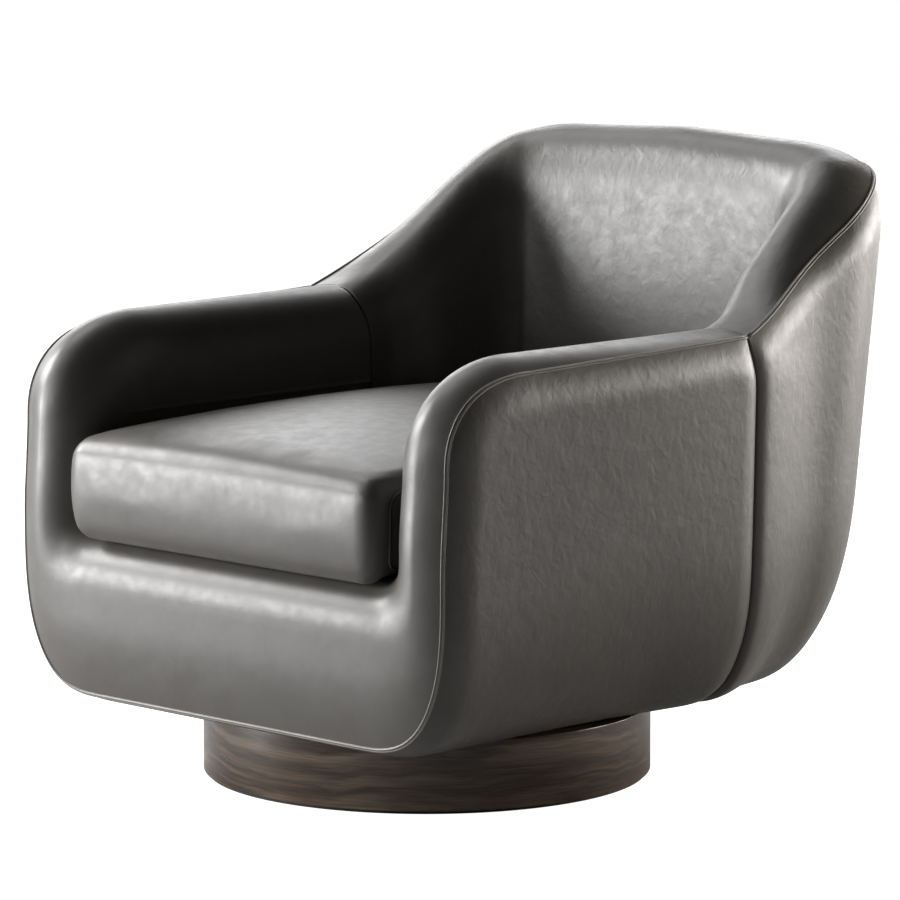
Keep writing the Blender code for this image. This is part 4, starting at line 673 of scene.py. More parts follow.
def rim_profile(roll_share, roll_depth, crown, reach, crown_share):
    """The rim's section: share across from the seam to the inner wall, and depth below the seam."""
    face = np.arange(FACE_STEPS) / FACE_STEPS * (1 - roll_share)
    face_depth = -crown * (1 - (1 - np.minimum(face / crown_share, 1.0)) ** 2)
    angle = np.linspace(0, math.pi / 2, ROLL_STEPS + 1)
    roll = 1 - roll_share + roll_share * np.sin(angle) ** (2 / ROLL_POWER)
    cosine = np.maximum(np.cos(angle), 0.0)
    start_crown = crown * (1 - (1 - min((1 - roll_share) / crown_share, 1.0)) ** 2)
    bend_depth = -start_crown + (roll_depth + start_crown) * (1 - cosine ** (2 / ROLL_POWER))
    wall = np.arange(1, WALL_STEPS + 1) / WALL_STEPS
    shares = np.concatenate([face, roll, np.ones(WALL_STEPS)])
    return shares, np.concatenate([face_depth, bend_depth, roll_depth + (reach - roll_depth) * wall])


def seam_lean(z):
    """Place of the front seam, which leans back a little as it rises."""
    return SEAM_Y + SEAM_LEAN * float(ease((z - SEAM_LEAN_FROM) / SEAM_LEAN_RUN))


def arm_top_section(y):
    """The rim across an arm's top, from the seam to the inner wall."""
    share = (y - ARM_CORNER_Y) / (VALLEY_Y - ARM_CORNER_Y)
    seam_z = ARM_SEAM_Z[0] + (ARM_SEAM_Z[1] - ARM_SEAM_Z[0]) * share
    seam = side_point(np.float64(y), girth_level(y, seam_z), PILLOW_DEPTH)
    across, depth = rim_profile(ARM_TOP_ROLL, ARM_TOP_ROLL_DEPTH, ARM_TOP_Z - seam_z,
                                seam_z - ARM_CORNER_Z, ARM_PEAK)
    x = seam[0] + (ARM_INNER_X - seam[0]) * across
    return np.stack([x, np.full(len(across), y), seam[2] - depth], -1)


def front_sections():
    """Sections of the front rail, its corner and the arm's front, and each one's place on the side panel."""
    face = []
    rail_end = side_point(np.float64(SEAM_Y), np.float64(3.0), PILLOW_DEPTH)
    inner_end = (ARM_INNER_X - RAIL_CORNER_RADIUS) * RAIL_END_SHARE
    for share in np.linspace(0, 1, RAIL_STEPS + 1):
        seam = np.array([rail_end[0] * share, SEAM_Y, rail_end[2]])
        face.append((seam, np.array([inner_end * share, SEAM_Y, RAIL_TOP_Z]), 0.0, None))
    for share in np.linspace(0, 1, RAIL_CORNER_STEPS + 1):
        angle = share * math.pi / 2
        seam = side_point(np.float64(SEAM_Y), np.float64(2.0 - share), PILLOW_DEPTH)
        inner = np.array([ARM_INNER_X - RAIL_CORNER_RADIUS * (1 - math.sin(angle)), SEAM_Y,
                          RAIL_TOP_Z + RAIL_CORNER_RADIUS * (1 - math.cos(angle))])
        face.append((seam, inner, float(ease(share)), (SEAM_Y, 2.0 - share)))
    for share in np.linspace(0, 1, ARM_FRONT_STEPS + 1)[1:]:
        seam_z = TUCK_START[0] + (ARM_CORNER_Z - TUCK_START[0]) * share
        y = seam_lean(seam_z)
        level = float(girth_level(y, seam_z))
        inner_z = RAIL_TOP_Z + RAIL_CORNER_RADIUS
        inner = np.array([ARM_INNER_X, y, inner_z + (ARM_CORNER_Z - inner_z) * share])
        face.append((side_point(np.float64(y), np.float64(level), PILLOW_DEPTH), inner, 1.0, (y, level)))
    sections = []
    for seam, inner, arm_share, _ in face:
        reach = BAND_WALL_END_Y - seam[1]
        rail = rim_profile(RAIL_ROLL, FRONT_ROLL_DEPTH, FRONT_CROWN, reach, RAIL_PEAK)
        arm = rim_profile(ARM_FRONT_ROLL, FRONT_ROLL_DEPTH, FRONT_CROWN, reach, ARM_PEAK)
        across = rail[0] + (arm[0] - rail[0]) * arm_share
        depth = rail[1] + (arm[1] - rail[1]) * arm_share
        sections.append(seam + (inner - seam) * across[:, None] + np.array([0.0, 1.0, 0.0]) * depth[:, None])
    return sections, [entry[3] for entry in face]


def front_band_half():
    """Sections of the band from the rail's centre to the valley at +X, with their side-panel places."""
    sections, places = front_sections()
    front = sections[-1]
    top = arm_top_section(ARM_CORNER_Y)
    for share in np.linspace(0, 1, ARM_CORNER_STEPS + 1)[1:]:
        angle = share * math.pi / 2
        forward = max(math.cos(angle), 0.0) ** (2 / ARM_CORNER_POWER)
        upward = math.sin(angle) ** (2 / ARM_CORNER_POWER)
        section = front + (top - front) * float(ease(share))
        section[:, 1] = ARM_CORNER_Y + (front[:, 1] - ARM_CORNER_Y) * forward
        section[:, 2] = ARM_CORNER_Z + (top[:, 2] - ARM_CORNER_Z) * upward
        level = girth_level(section[0, 1], section[0, 2])
        seam = side_point(np.float64(section[0, 1]), np.float64(level), PILLOW_DEPTH)
        section[:, 0] += (seam[0] - section[0, 0]) * np.linspace(1.0, 0.0, len(section))
        pull = ARM_CORNER_PULL * math.sin(math.pi * share) * np.linspace(0, 1, len(section)) ** 0.5
        pull[FACE_STEPS + ROLL_STEPS:] = 0.0
        from_centre = section[:, 1:] - np.array([ARM_CORNER_Y, ARM_CORNER_Z])
        from_centre /= np.maximum(np.linalg.norm(from_centre, axis=1, keepdims=True), 1e-6)
        section[:, 1:] -= from_centre * pull[:, None]
        section[0] = seam
        sections.append(section)
        places.append((float(section[0, 1]), float(level)))
    for share in np.linspace(0, 1, ARM_TOP_STEPS + 1)[1:]:
        y = ARM_CORNER_Y + (VALLEY_Y - ARM_CORNER_Y) * share
        sections.append(arm_top_section(y))
        places.append((y, float(girth_level(y, ARM_SEAM_Z[0] + (ARM_SEAM_Z[1] - ARM_SEAM_Z[0]) * share))))
    return np.array(sections), places


def wing_half():
    """Sections of the wing and back rim with their inner wall, from the valley to the back's centre."""
    rows = []
    for share in np.linspace(0, 1, WING_STEPS + 1):
        run = back_run(share)
        seam_z = back_seam_z(run)
        seam = back_point(np.float64(share), girth_level(VALLEY_Y, seam_z), PILLOW_DEPTH)
        _, _, in_x, in_y = back_plan(np.float64(share), seam_z)
        arm_width = rows[0][0][0] - ARM_INNER_X if rows else seam[0] - ARM_INNER_X
        widths = (arm_width,) + WING_WIDTHS[1:]
        wide, crown, peak = [smooth_through(run, WING_RUNS, values)
                             for values in (widths, WING_CROWNS, WING_PEAKS)]
        across, depth = rim_profile(1 - peak, WING_ROLL_DEPTH, crown, seam[2] - WING_WALL_END_Z, peak)
        lean = WALL_LEAN * np.clip(depth - WING_ROLL_DEPTH, 0.0, None) * float(ease(run / WALL_LEAN_RUN))
        inward = across * wide + lean
        fill = CORNER_FILL * float(ease(1 - abs(run - CORNER_RUN) / CORNER_FILL_REACH))
        wall = seam[:2] + np.array([in_x, in_y]) * (wide + fill)
        near_corner = float(ease(1 - abs(run - CORNER_RUN) / CORNER_EASE_REACH))
        rows.append((seam, wall, inward / wide, depth, near_corner))
    seams, walls, shares, depths, near_corner = [np.array(values) for values in zip(*rows)]
    for _ in range(CORNER_EASE_PASSES):
        bend = walls[:-2] + walls[2:] - 2 * walls[1:-1]
        walls[1:-1] += 0.5 * bend * near_corner[1:-1, None]
    plan = seams[:, None, :2] + (walls - seams[:, :2])[:, None] * shares[..., None]
    return np.concatenate([plan, (seams[:, 2:] - depths)[..., None]], -1)


def graded(count):
    """Shares from 0 to 1 that start close together."""
    even = np.linspace(0, 1, count)
    return even * (1 - PANEL_GRADING + PANEL_GRADING * even)


def panel_levels(start):
    """Levels down a panel's rear edge: even down to the tuck, then one for each step of the tuck."""
    upper = np.linspace(start, 1.0, ARM_CORNER_STEPS // 2 + ARM_FRONT_STEPS + 1)
    return np.concatenate([upper, np.linspace(1.0, 2.0, RAIL_CORNER_STEPS + 1)[1:], [3.0]])


def patch_between(top, bottom, left, right, upper_rows):
    """A Coons patch between four boundaries: the top's shape fades out over the upper rows."""
    across = graded(len(top))[None, :, None]
    down = ease(np.arange(len(left)) / upper_rows)[:, None, None]
    return ((1 - down) * top[None] + down * bottom[None] + (1 - across) * left[:, None]
            + across * right[:, None] - (1 - across) * (1 - down) * top[0] - across * (1 - down) * top[-1]
            - (1 - across) * down * bottom[0] - across * down * bottom[-1])


def distance_to_path(points, path):
    """Least distance from each point to a polyline."""
    least = np.full(points.shape[:-1], 9.0)
    for start, end in zip(path, path[1:]):
        along = end - start
        share = np.clip(((points - start) @ along) / max(float(along @ along), 1e-12), 0, 1)
        least = np.minimum(least, np.linalg.norm(points - start - share[..., None] * along, axis=-1))
    return least


def seam_sink(from_edge, from_side_seam):
    """How far a padded panel sinks towards its seams."""
    edge = PILLOW_DEPTH * np.clip(1 - from_edge / PILLOW_REACH, 0, 1) ** 2
    side = SIDE_SEAM_DEPTH * np.clip(1 - from_side_seam / SIDE_SEAM_REACH, 0, 1) ** 2
    return edge + side * (1 - edge / PILLOW_DEPTH)


def side_panel_grid(places):
    """The outer arm panel at +X, whose border follows the band's seam."""
    border = np.array([place for place in places if place is not None])
    middle = RAIL_CORNER_STEPS + ARM_FRONT_STEPS + ARM_CORNER_STEPS // 2
    top = border[middle:]
    left = np.vstack([border[:middle + 1][::-1], [SEAM_Y, 3.0]])
    levels = panel_levels(top[-1][1])
    right = np.stack([np.full(len(levels), VALLEY_Y), levels], 1)
    bottom = np.stack([SEAM_Y + (VALLEY_Y - SEAM_Y) * graded(len(top)), np.full(len(top), 3.0)], 1)
    domain = patch_between(top, bottom, left, right, ARM_CORNER_STEPS // 2 + ARM_FRONT_STEPS)
    y, level = domain[..., 0], domain[..., 1]
    seam = np.vstack([side_point(np.float64(SEAM_Y), np.float64(3.0)),
                      side_point(border[:, 0], border[:, 1])])
    return side_point(y, level, seam_sink(distance_to_path(side_point(y, level), seam), VALLEY_Y - y))


def back_panel_half(side_grid):
    """The outer back from the side seam to its centre: its first column is the side panel's last one."""
    columns = [side_grid[:, -1]]
    for share in np.linspace(0, 1, WING_STEPS + 1)[1:]:
        run = back_run(share)
        seam_z = back_seam_z(run)
        levels = panel_levels(float(girth_level(VALLEY_Y, seam_z)))
        tucked = np.linspace(1.0, BACK_END_LEVEL, RAIL_CORNER_STEPS + 2)
        levels[-len(tucked):] += (tucked - levels[-len(tucked):]) * float(ease(run / BACK_LEVEL_RUN))
        _, height = girth(VALLEY_Y + run, levels)
        columns.append(back_point(np.full(len(levels), share), levels, seam_sink(seam_z - height, run)))
    return np.array(columns)


def whole(half):
    """Join a half, listed from the centre outwards, with its mirror image: -X first."""
    return np.concatenate([(half[1:] * MIRROR)[::-1], half])


def shared_key(point):
    return tuple(np.round(point * SHARED_POINTS_PER_METRE).astype(int))


def outward_directions(grids):
    """Unit normals at every grid point, shared where covers meet, so that their edges turn in together."""
    sums = {}
    for grid in grids.values():
        corner, next_row = grid[:-1, :-1], grid[1:, :-1]
        opposite, next_column = grid[1:, 1:], grid[:-1, 1:]
        normal = np.cross(opposite - corner, next_column - next_row)
        normal = normal / np.maximum(np.linalg.norm(normal, axis=-1, keepdims=True), 1e-12)
        for points in (corner, next_row, opposite, next_column):
            for point, direction in zip(points.reshape(-1, 3), normal.reshape(-1, 3)):
                key = shared_key(point)
                sums[key] = sums.get(key, 0.0) + direction
    result = {}
    for name, grid in grids.items():
        found = np.array([sums[shared_key(point)] for point in grid.reshape(-1, 3)])
        found /= np.maximum(np.linalg.norm(found, axis=1, keepdims=True), 1e-12)
        result[name] = found.reshape(grid.shape)
    return result


band_half, band_places = front_band_half()
side_grid = side_panel_grid(band_places)
lip_end = side_grid[-1, :LIP_DEPTH_COLUMNS]
lip_shares = np.linspace(1, -1, 2 * RAIL_STEPS + 1)
tub = {
    "front_band": whole(band_half),
    "wing_back": whole(wing_half()[::-1])[::-1],
    "outer_side_left": side_grid,
    "outer_side_right": (side_grid * MIRROR)[:, ::-1],
    "outer_back": whole(back_panel_half(side_grid)[::-1]),
    "front_lip": np.array([lip_end * np.array([share, 1.0, 1.0]) for share in lip_shares]),
}
UNDERSIDE_SAG = 0.0032
UNDERSIDE_SAG_Z = 0.17
UNDERSIDE_SAG_RUN = 0.07


def slid(points):
    """The upright side seams bow backwards below the arms, and the covers sag a little under the tub."""
    y, z = points[..., 1], points[..., 2]
    back = sum(amount * ease((top - z) / run)
               for amount, top, run in zip(SEAM_SLIDE, SEAM_SLIDE_TOPS, SEAM_SLIDE_RUNS))
    moved = points.copy()
    moved[..., 1] += back * ease(1 - np.abs(y - VALLEY_Y) / SEAM_SLIDE_REACH)
    moved[..., 2] -= UNDERSIDE_SAG * ease((UNDERSIDE_SAG_Z - z) / UNDERSIDE_SAG_RUN)
    return moved


tub = {name: slid(grid) for name, grid in tub.items()}
tub_outward = outward_directions(tub)


# The leather of every cover: a smooth dark taupe hide with a soft satin face. It has fine pores, a cloudy
# tone, shallow hammered dents from being pulled over foam, and a few thin scars and growth lines.
LEATHER_DARK = (0.073, 0.067, 0.061)
LEATHER_MID = (0.080, 0.074, 0.067)
LEATHER_LIGHT = (0.089, 0.083, 0.076)


def leather_material(name, dents, scars, painted_highlight_lift=1.0):
    """Dark taupe hide: dents and scars say how much it shows its pull and its marks; the last value lightens
    its tone, a painted highlight.
    """
    material, tree, shader = shader_nodes(name, LEATHER_MID, 0.42)
    tones = [[part * painted_highlight_lift for part in color] for color in (LEATHER_DARK, LEATHER_MID, LEATHER_LIGHT)]
    tone = ramp(tree, noise_texture(tree, 22.0, 5.0, 0.6, 0.4), list(zip((0.30, 0.52, 0.75), tones)))
    gloss = span(tree, noise_texture(tree, 60.0, 4.0, 0.6), 0.3, 0.7, 0.36, 0.46)
    pull = bump(tree, noise_texture(tree, 80.0, 3.0, 0.5, 0.5, (1.0, 1.0, 0.8)), 0.00046 * dents)
    scar = span(tree, noise_texture(tree, 7.0, 2.0, 0.4, 1.4, (1.0, 1.0, 0.45)), 0.495, 0.505, 0.0, 1.0)
    patch = span(tree, noise_texture(tree, 5.0, 2.0), 0.60, 0.68, 0.0, 1.0)
    mark = add_node(tree, "ShaderNodeMath", {}, {0: folded(tree, scar, 0.5), 1: patch}, operation="MULTIPLY")
    scratched = bump(tree, mark.outputs["Value"], 0.00025 * scars, 1.0, pull)
    pores = plain_texture(tree, "ShaderNodeTexVoronoi", {"Scale": 1100.0}, "Distance",
                          feature="DISTANCE_TO_EDGE")
    lead(tree, shader, tone, bump(tree, pores, 0.00006, 0.5, scratched), gloss)
    return material


tub_leather = leather_material("taupe_leather_tub", 1.0, 1.0)
smooth_leather = leather_material("taupe_leather_band", 0.30, 0.5)
# The seam beads and cords share one hide whose tone is made 2.2 times lighter: a painted highlight.
highlit_welt_leather = leather_material("taupe_leather_welt_painted_highlight", 0.0, 0.0, 2.2)


# The tub's covers: hide sewn over padding. Each cover's edge is folded in along its seams, so a thin dark
# line shows between two covers. The band and the wing cover are drawn tight, the outer panels less so.
COVER_THICKNESS = 0.006
FOLD_RADIUS = 0.0022
VALLEY_FOLD_RADIUS = 0.0045
FOLD_STEPS = 5
SEAM_GAP = 0.0003
DENT_SIZE = 0.020
DENT_DEPTH = 0.00016
CALM_EDGE = 0.030


def lines_with_folds(stack, axis, folds):
    """Resample a grid's lines, so that rows follow its borders at the distances of a small rounded fold."""
    lines = np.moveaxis(stack, axis, 0)
    steps = np.linalg.norm(np.diff(lines[..., :3], axis=0), axis=-1)
    runs = np.concatenate([np.zeros((1, lines.shape[1])), np.cumsum(steps, axis=0)])
    total = runs[-1]
    angles = np.linspace(0, math.pi / 2, FOLD_STEPS)
    near = [(SEAM_GAP + fold * (1 - np.cos(angles))) if fold else np.zeros(1) for fold in folds]
    leads = [border[-1] + fold * 0.5 for border, fold in zip(near, folds)]
    inner = leads[0] + (total - leads[0] - leads[1]) * runs / total
    inner = inner[0 if folds[0] else 1:len(inner) if folds[1] else -1]
    ask = np.concatenate([np.repeat(near[0][:, None], len(total), 1), inner, total - near[1][::-1, None]])
    result = np.empty((len(ask), lines.shape[1], lines.shape[2]))
    for column in range(lines.shape[1]):
        for part in range(lines.shape[2]):
            result[:, column, part] = np.interp(ask[:, column], runs[:, column], lines[:, column, part])
    drop = np.zeros(len(ask))
    if folds[0]:
        drop[:FOLD_STEPS] = folds[0] * (1 - np.sin(angles))
    if folds[1]:
        drop[-FOLD_STEPS:] = (folds[1] * (1 - np.sin(angles)))[::-1]
    away = np.minimum(ask, total - ask).min(axis=1)
    return np.moveaxis(result, 0, axis), drop, away


def dent_heights(points, amount):
    """Height of the hide's shallow dents at each point."""
    flat = points.reshape(-1, 3) / DENT_SIZE
    heights = [noise.fractal(Vector(point), 1.0, 2.0, 2) for point in flat]
    return np.array(heights).reshape(points.shape[:-1]) * DENT_DEPTH * amount


def cover_mesh(name, grid, outward, dent_amount, row_folds, column_folds):
    """A cover with folded edges: its face follows the grid, and its hidden side lies below."""
    stack = np.concatenate([grid, outward], -1)
    stack, row_drop, row_away = lines_with_folds(stack, 0, row_folds)
    stack, column_drop, column_away = lines_with_folds(stack, 1, column_folds)
    points, normals = stack[..., :3], stack[..., 3:]
    normals = normals / np.linalg.norm(normals, axis=-1, keepdims=True)
    drop = np.maximum(row_drop[:, None], column_drop[None])
    calm = ease(row_away / CALM_EDGE)[:, None] * ease(column_away / CALM_EDGE)[None]
    height = dent_heights(points, dent_amount) * calm - drop
    upper = points + normals * height[..., None]
    return closed_pad(name, upper, points - normals * COVER_THICKNESS)


both = (FOLD_RADIUS, FOLD_RADIUS)
at_valley = (VALLEY_FOLD_RADIUS, VALLEY_FOLD_RADIUS)
open_below = (FOLD_RADIUS, 0.0)
COVERS = (
    ("front_band", "front_band_leather", smooth_leather, 0.25, at_valley, open_below),
    ("wing_back", "wing_back_leather", tub_leather, 0.7, both, open_below),
    ("outer_side_left", "outer_side_left", tub_leather, 1.0, both, both),
    ("outer_side_right", "outer_side_right", tub_leather, 1.0, both, both),
    ("outer_back", "outer_back", tub_leather, 0.8, both, both),
    ("front_lip", "front_lip", smooth_leather, 0.0, both, both),
)
for name, node, material, dent_amount, row_folds, column_folds in COVERS:
    mesh = cover_mesh(name + "_cover", tub[name], tub_outward[name], dent_amount, row_folds, column_folds)
    cover = add_piece(name + "_cover", mesh, material, "tub", (node,))


# The padding: sheets of foam glued over the boards and wrapped in fibre, thinnest at the seams. It lies
# right behind the band's and the wings' covers, and gives them their round edges.
FOAM_THICKNESS = 0.016
foam_material, tree, shader = shader_nodes("foam_cells", (0.80, 0.74, 0.58), 0.9)
foam_cells = plain_texture(tree, "ShaderNodeTexVoronoi", {"Scale": 700.0}, "Distance")
toned(tree, shader, foam_cells, [(0.1, (0.62, 0.55, 0.38)), (0.6, (0.84, 0.78, 0.62))], 0.0006)
for name in ("front_band", "wing_back"):
    grid, outward = tub[name][1:-1, 2:-1], tub_outward[name][1:-1, 2:-1]
    outside = COVER_THICKNESS + SEAM_GAP
    hidden = grid - outward * (outside + FOAM_THICKNESS)
    mesh = closed_pad(name + "_padding", grid - outward * outside, hidden)
    padding = add_piece(name + "_padding", mesh, foam_material, "tub", (name + "_foam",))


# The inner arms: a plain panel of the same hide over thin foam lines each arm beside the cushion. The
# band's cover is drawn over its upper and front edges.
LINING_THICKNESS = 0.009
LINING_LAP = 0.010
LINING_RECESS = 0.0003
LINING_CELLS = (24, 12)
for name in ("inner_arm_left", "inner_arm_right"):
    low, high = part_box(name)
    side = 1.0 if low.x > 0 else -1.0
    ys = np.linspace(low.y - LINING_LAP, high.y - SEAM_GAP, LINING_CELLS[0] + 1)
    zs = np.linspace(high.z + LINING_LAP, low.z, LINING_CELLS[1] + 1)
    y, z = np.meshgrid(ys, zs, indexing="ij")
    face = np.stack([np.full(y.shape, side * (ARM_INNER_X + LINING_RECESS)), y, z], -1)
    hidden = face + np.array([side * LINING_THICKNESS, 0.0, 0.0])
    if side < 0:
        face, hidden = face[::-1], hidden[::-1]
    mesh = closed_pad(name + "_lining", face, hidden)
    lining = add_piece(name + "_lining", mesh, smooth_leather, "tub", (name,))


# The seams: a narrow folded strip of hide is sewn between the covers, so two fine beads stand side by
# side along the arms, the front and the back. The upright side seams have a plain sunk cord. Beads and cords
# are in a hide with a lighter tone: a painted highlight along the seams.
BEAD_RADIUS = 0.00105
BEAD_PITCH = 0.0032
BEAD_RISE = 0.0003
BEAD_ROOT = 0.0045
SIDE_CORD_RADIUS = 0.0012
SIDE_CORD_SINK = 0.0022
SEAM_END_GAP = 0.0012


def outward_mesh(name, vertices, faces, merge=None):
    """A smooth mesh with its faces turned outwards, and its doubled points merged first if asked."""
    mesh = bpy.data.meshes.new(name)
    mesh.from_pydata(vertices, [], faces)
    bm = bmesh.new()
    bm.from_mesh(mesh)
    if merge is not None:
        bmesh.ops.remove_doubles(bm, verts=bm.verts, dist=merge)
    bmesh.ops.recalc_face_normals(bm, faces=bm.faces)
    bm.to_mesh(mesh)
    bm.free()
    mesh.shade_smooth()
    return mesh


def sweep(name, path, normals, profile, end_gap):
    """A closed profile of (across, up) points drawn along a path that lies on a surface."""
    steps = np.linalg.norm(np.diff(path, axis=0), axis=1)
    runs = np.concatenate([[0.0], np.cumsum(steps)])
    ask = np.linspace(end_gap, runs[-1] - end_gap, len(path))
    path = np.stack([np.interp(ask, runs, path[:, axis]) for axis in range(3)], -1)
    normals = np.stack([np.interp(ask, runs, normals[:, axis]) for axis in range(3)], -1)
    tangent = np.gradient(path, axis=0)
    tangent /= np.linalg.norm(tangent, axis=1, keepdims=True)
    across = np.cross(tangent, normals)
    across /= np.linalg.norm(across, axis=1, keepdims=True)
    upward = np.cross(across, tangent)
    rings = path[:, None] + across[:, None] * profile[None, :, :1] + upward[:, None] * profile[None, :, 1:]
    count, sides = rings.shape[:2]
    index = np.arange(count * sides).reshape(count, sides)
    following = np.roll(index, -1, axis=1)
    quads = np.stack([index[:-1], following[:-1], following[1:], index[1:]], -1).reshape(-1, 4).tolist()
    caps = [index[0][::-1].tolist(), index[-1].tolist()]
    return outward_mesh(name, rings.reshape(-1, 3).tolist(), quads + caps)


def bead_profile():
    """Two beads side by side on one root."""
    half = BEAD_PITCH / 2
    points = [(-half - BEAD_RADIUS, -BEAD_ROOT)]
    for centre, start, end in ((-half, 180.0, 25.0), (half, 155.0, 0.0)):
        for angle in np.radians(np.linspace(start, end, 9)):
            points.append((centre + BEAD_RADIUS * math.cos(angle), BEAD_RISE + BEAD_RADIUS * math.sin(angle)))
    points.append((half + BEAD_RADIUS, -BEAD_ROOT))
    return np.array(points)


def cord_profile(radius, rise):
    """A round cord whose middle stands above the surface, or below it, by the rise."""
    angles = np.linspace(0, 2 * math.pi, 13)[:-1]
    return np.stack([radius * np.cos(angles), rise + radius * np.sin(angles)], -1)


side_cord = cord_profile(SIDE_CORD_RADIUS, -SIDE_CORD_SINK)
WELTS = (
    ("welt_front", "front_band", (slice(None), 0), bead_profile()),
    ("welt_back", "wing_back", (slice(None), 0), bead_profile()),
    ("welt_side_left", "outer_side_left", (slice(None, -1), -1), side_cord),
    ("welt_side_right", "outer_side_right", (slice(None, -1), 0), side_cord),
)
for piece_name, grid_name, line, profile in WELTS:
    path, normals = tub[grid_name][line], tub_outward[grid_name][line]
    mesh = sweep(piece_name + "_beads", path, normals, profile, SEAM_END_GAP)
    add_piece(piece_name + "_beads", mesh, highlit_welt_leather, "tub", (piece_name,))


# The seat deck: a firm pad under black lining cloth, stretched over the webbing. It is quilted in long
# panels and follows the walls of the well, so nothing falls between them.
DECK_CELLS = (60, 72)
DECK_EDGE = 0.006
DECK_CLEARANCE = 0.0004
QUILT_PITCH = 0.128
QUILT_DEPTH = 0.0016
QUILT_WIDTH = 0.010
WELL_FROM_X = 0.10
deck_low, deck_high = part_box("seat_deck")
wall_foot = tub["wing_back"][:, -1]
wall_foot = wall_foot[:len(wall_foot) // 2 + 1]
wall_foot = wall_foot[wall_foot[:, 0] > WELL_FROM_X]
well_y, well_x = wall_foot[:, 1], np.minimum(wall_foot[:, 0], ARM_INNER_X)
deck_y = np.linspace(deck_low.y, min(deck_high.y, float(well_y[-1])), DECK_CELLS[1] + 1)
deck_across = np.linspace(-1, 1, DECK_CELLS[0] + 1)
deck_half = np.interp(deck_y, well_y, well_x) - DECK_CLEARANCE
x = deck_half[:, None] * deck_across[None]
y = np.repeat(deck_y[:, None], len(deck_across), 1)
from_edge = np.minimum(deck_half[:, None] - np.abs(x), np.minimum(y - deck_y[0], deck_y[-1] - y))
rounded = DECK_EDGE - np.sqrt(np.maximum(DECK_EDGE**2 - np.clip(DECK_EDGE - from_edge, 0, DECK_EDGE) ** 2, 0))
quilt = np.abs((x / QUILT_PITCH + 0.5) % 1.0 - 0.5) * QUILT_PITCH
groove = QUILT_DEPTH * np.clip(1 - quilt / QUILT_WIDTH, 0, 1) ** 2
deck_top = np.stack([x, y, deck_high.z - rounded - groove], -1)
deck_bottom = np.stack([x, y, np.full(x.shape, deck_low.z)], -1)
deck_material, tree, shader = shader_nodes("deck_lining_cloth", (0.045, 0.043, 0.042), 0.9)
threads = plain_texture(tree, "ShaderNodeTexWave", {"Scale": 420.0, "Distortion": 0.6}, "Fac")
toned(tree, shader, threads, [(0.2, (0.030, 0.029, 0.028)), (0.8, (0.060, 0.058, 0.056))], 0.0002)
deck_mesh = closed_pad("seat_deck_pad", deck_top[:, ::-1], deck_bottom[:, ::-1])
deck = add_piece("seat_deck_pad", deck_mesh, deck_material, "tub", ("seat_deck",))


# The dust cover: black lining cloth stapled under the tub, from the covers' lower edges to the mounting
# disc. The staples stand a few centimetres apart, just inside its edge.
DUST_INSET = 0.0050
DUST_SAG = 0.0008
DUST_STEPS = (180, 14)
STAPLE_SPACING = 0.026
STAPLE_WIDTH = 0.010
STAPLE_WIRE = 0.00045
STAPLE_INSET = 0.006
dust_low, dust_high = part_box("dust_cover")
dust_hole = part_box("mounting_disc")[1].x + DECK_CLEARANCE
edge_path = np.concatenate([tub["outer_back"][:, -1], tub["outer_side_left"][-1],
                            tub["outer_side_right"][-1], tub["front_lip"][:, -1]])
edge_angles = np.arctan2(edge_path[:, 1], edge_path[:, 0])
order = np.argsort(edge_angles)
edge_reach = np.hypot(edge_path[:, 0], edge_path[:, 1])
turns = np.linspace(-math.pi, math.pi, DUST_STEPS[0] + 1)[:-1]
reach = np.interp(turns, edge_angles[order], edge_reach[order], period=2 * math.pi) - DUST_INSET
share = np.linspace(0, 1, DUST_STEPS[1] + 1)[None]
radii = dust_hole + (reach[:, None] - dust_hole) * share
radii = np.vstack([radii, radii[:1]])
closed_turns = np.append(turns, turns[0])[:, None]
sag = DUST_SAG * np.sin(math.pi * share) + 0 * radii
cloth_top = np.stack([radii * np.cos(closed_turns), radii * np.sin(closed_turns), dust_high.z - sag], -1)
cloth_bottom = cloth_top - np.array([0.0, 0.0, (dust_high.z - dust_low.z)])
dust_mesh = closed_pad("dust_cloth", cloth_top[::-1], cloth_bottom[::-1])
bm = bmesh.new()
bm.from_mesh(dust_mesh)
joint = [face for face in bm.faces
         if face.calc_area() > 0 and all(abs(vert.co.y) < 1e-6 and vert.co.x < 0 for vert in face.verts)]
bmesh.ops.delete(bm, geom=joint, context="FACES_ONLY")
bmesh.ops.remove_doubles(bm, verts=bm.verts, dist=1e-6)
bm.to_mesh(dust_mesh)
bm.free()
dust_mesh.shade_smooth()
dust = add_piece("dust_cloth", dust_mesh, deck_material, "tub", ("dust_cover",))


def geometry_tree(name, sizes, places=()):
    """A Geometry Nodes tree with named sizes and places for inputs, and the sockets that give them."""
    tree = bpy.data.node_groups.new(name, "GeometryNodeTree")
    tree.interface.new_socket("Geometry", in_out="INPUT", socket_type="NodeSocketGeometry")
    for label, value in sizes.items():
        tree.interface.new_socket(label, in_out="INPUT", socket_type="NodeSocketFloat").default_value = value
    for label in places:
        tree.interface.new_socket(label, in_out="INPUT", socket_type="NodeSocketVector")
    tree.interface.new_socket("Geometry", in_out="OUTPUT", socket_type="NodeSocketGeometry")
    return tree, add_node(tree, "NodeGroupInput").outputs


def close_tree(tree, geometry, material):
    """End a tree: what it made becomes real, gets its material and leaves."""
    real = add_node(tree, "GeometryNodeRealizeInstances", {}, {"Geometry": geometry})
    dressed = add_node(tree, "GeometryNodeSetMaterial", {"Material": material},
                       {"Geometry": real.outputs["Geometry"]})
    add_node(tree, "NodeGroupOutput", {}, {"Geometry": dressed.outputs["Geometry"]})
    return tree


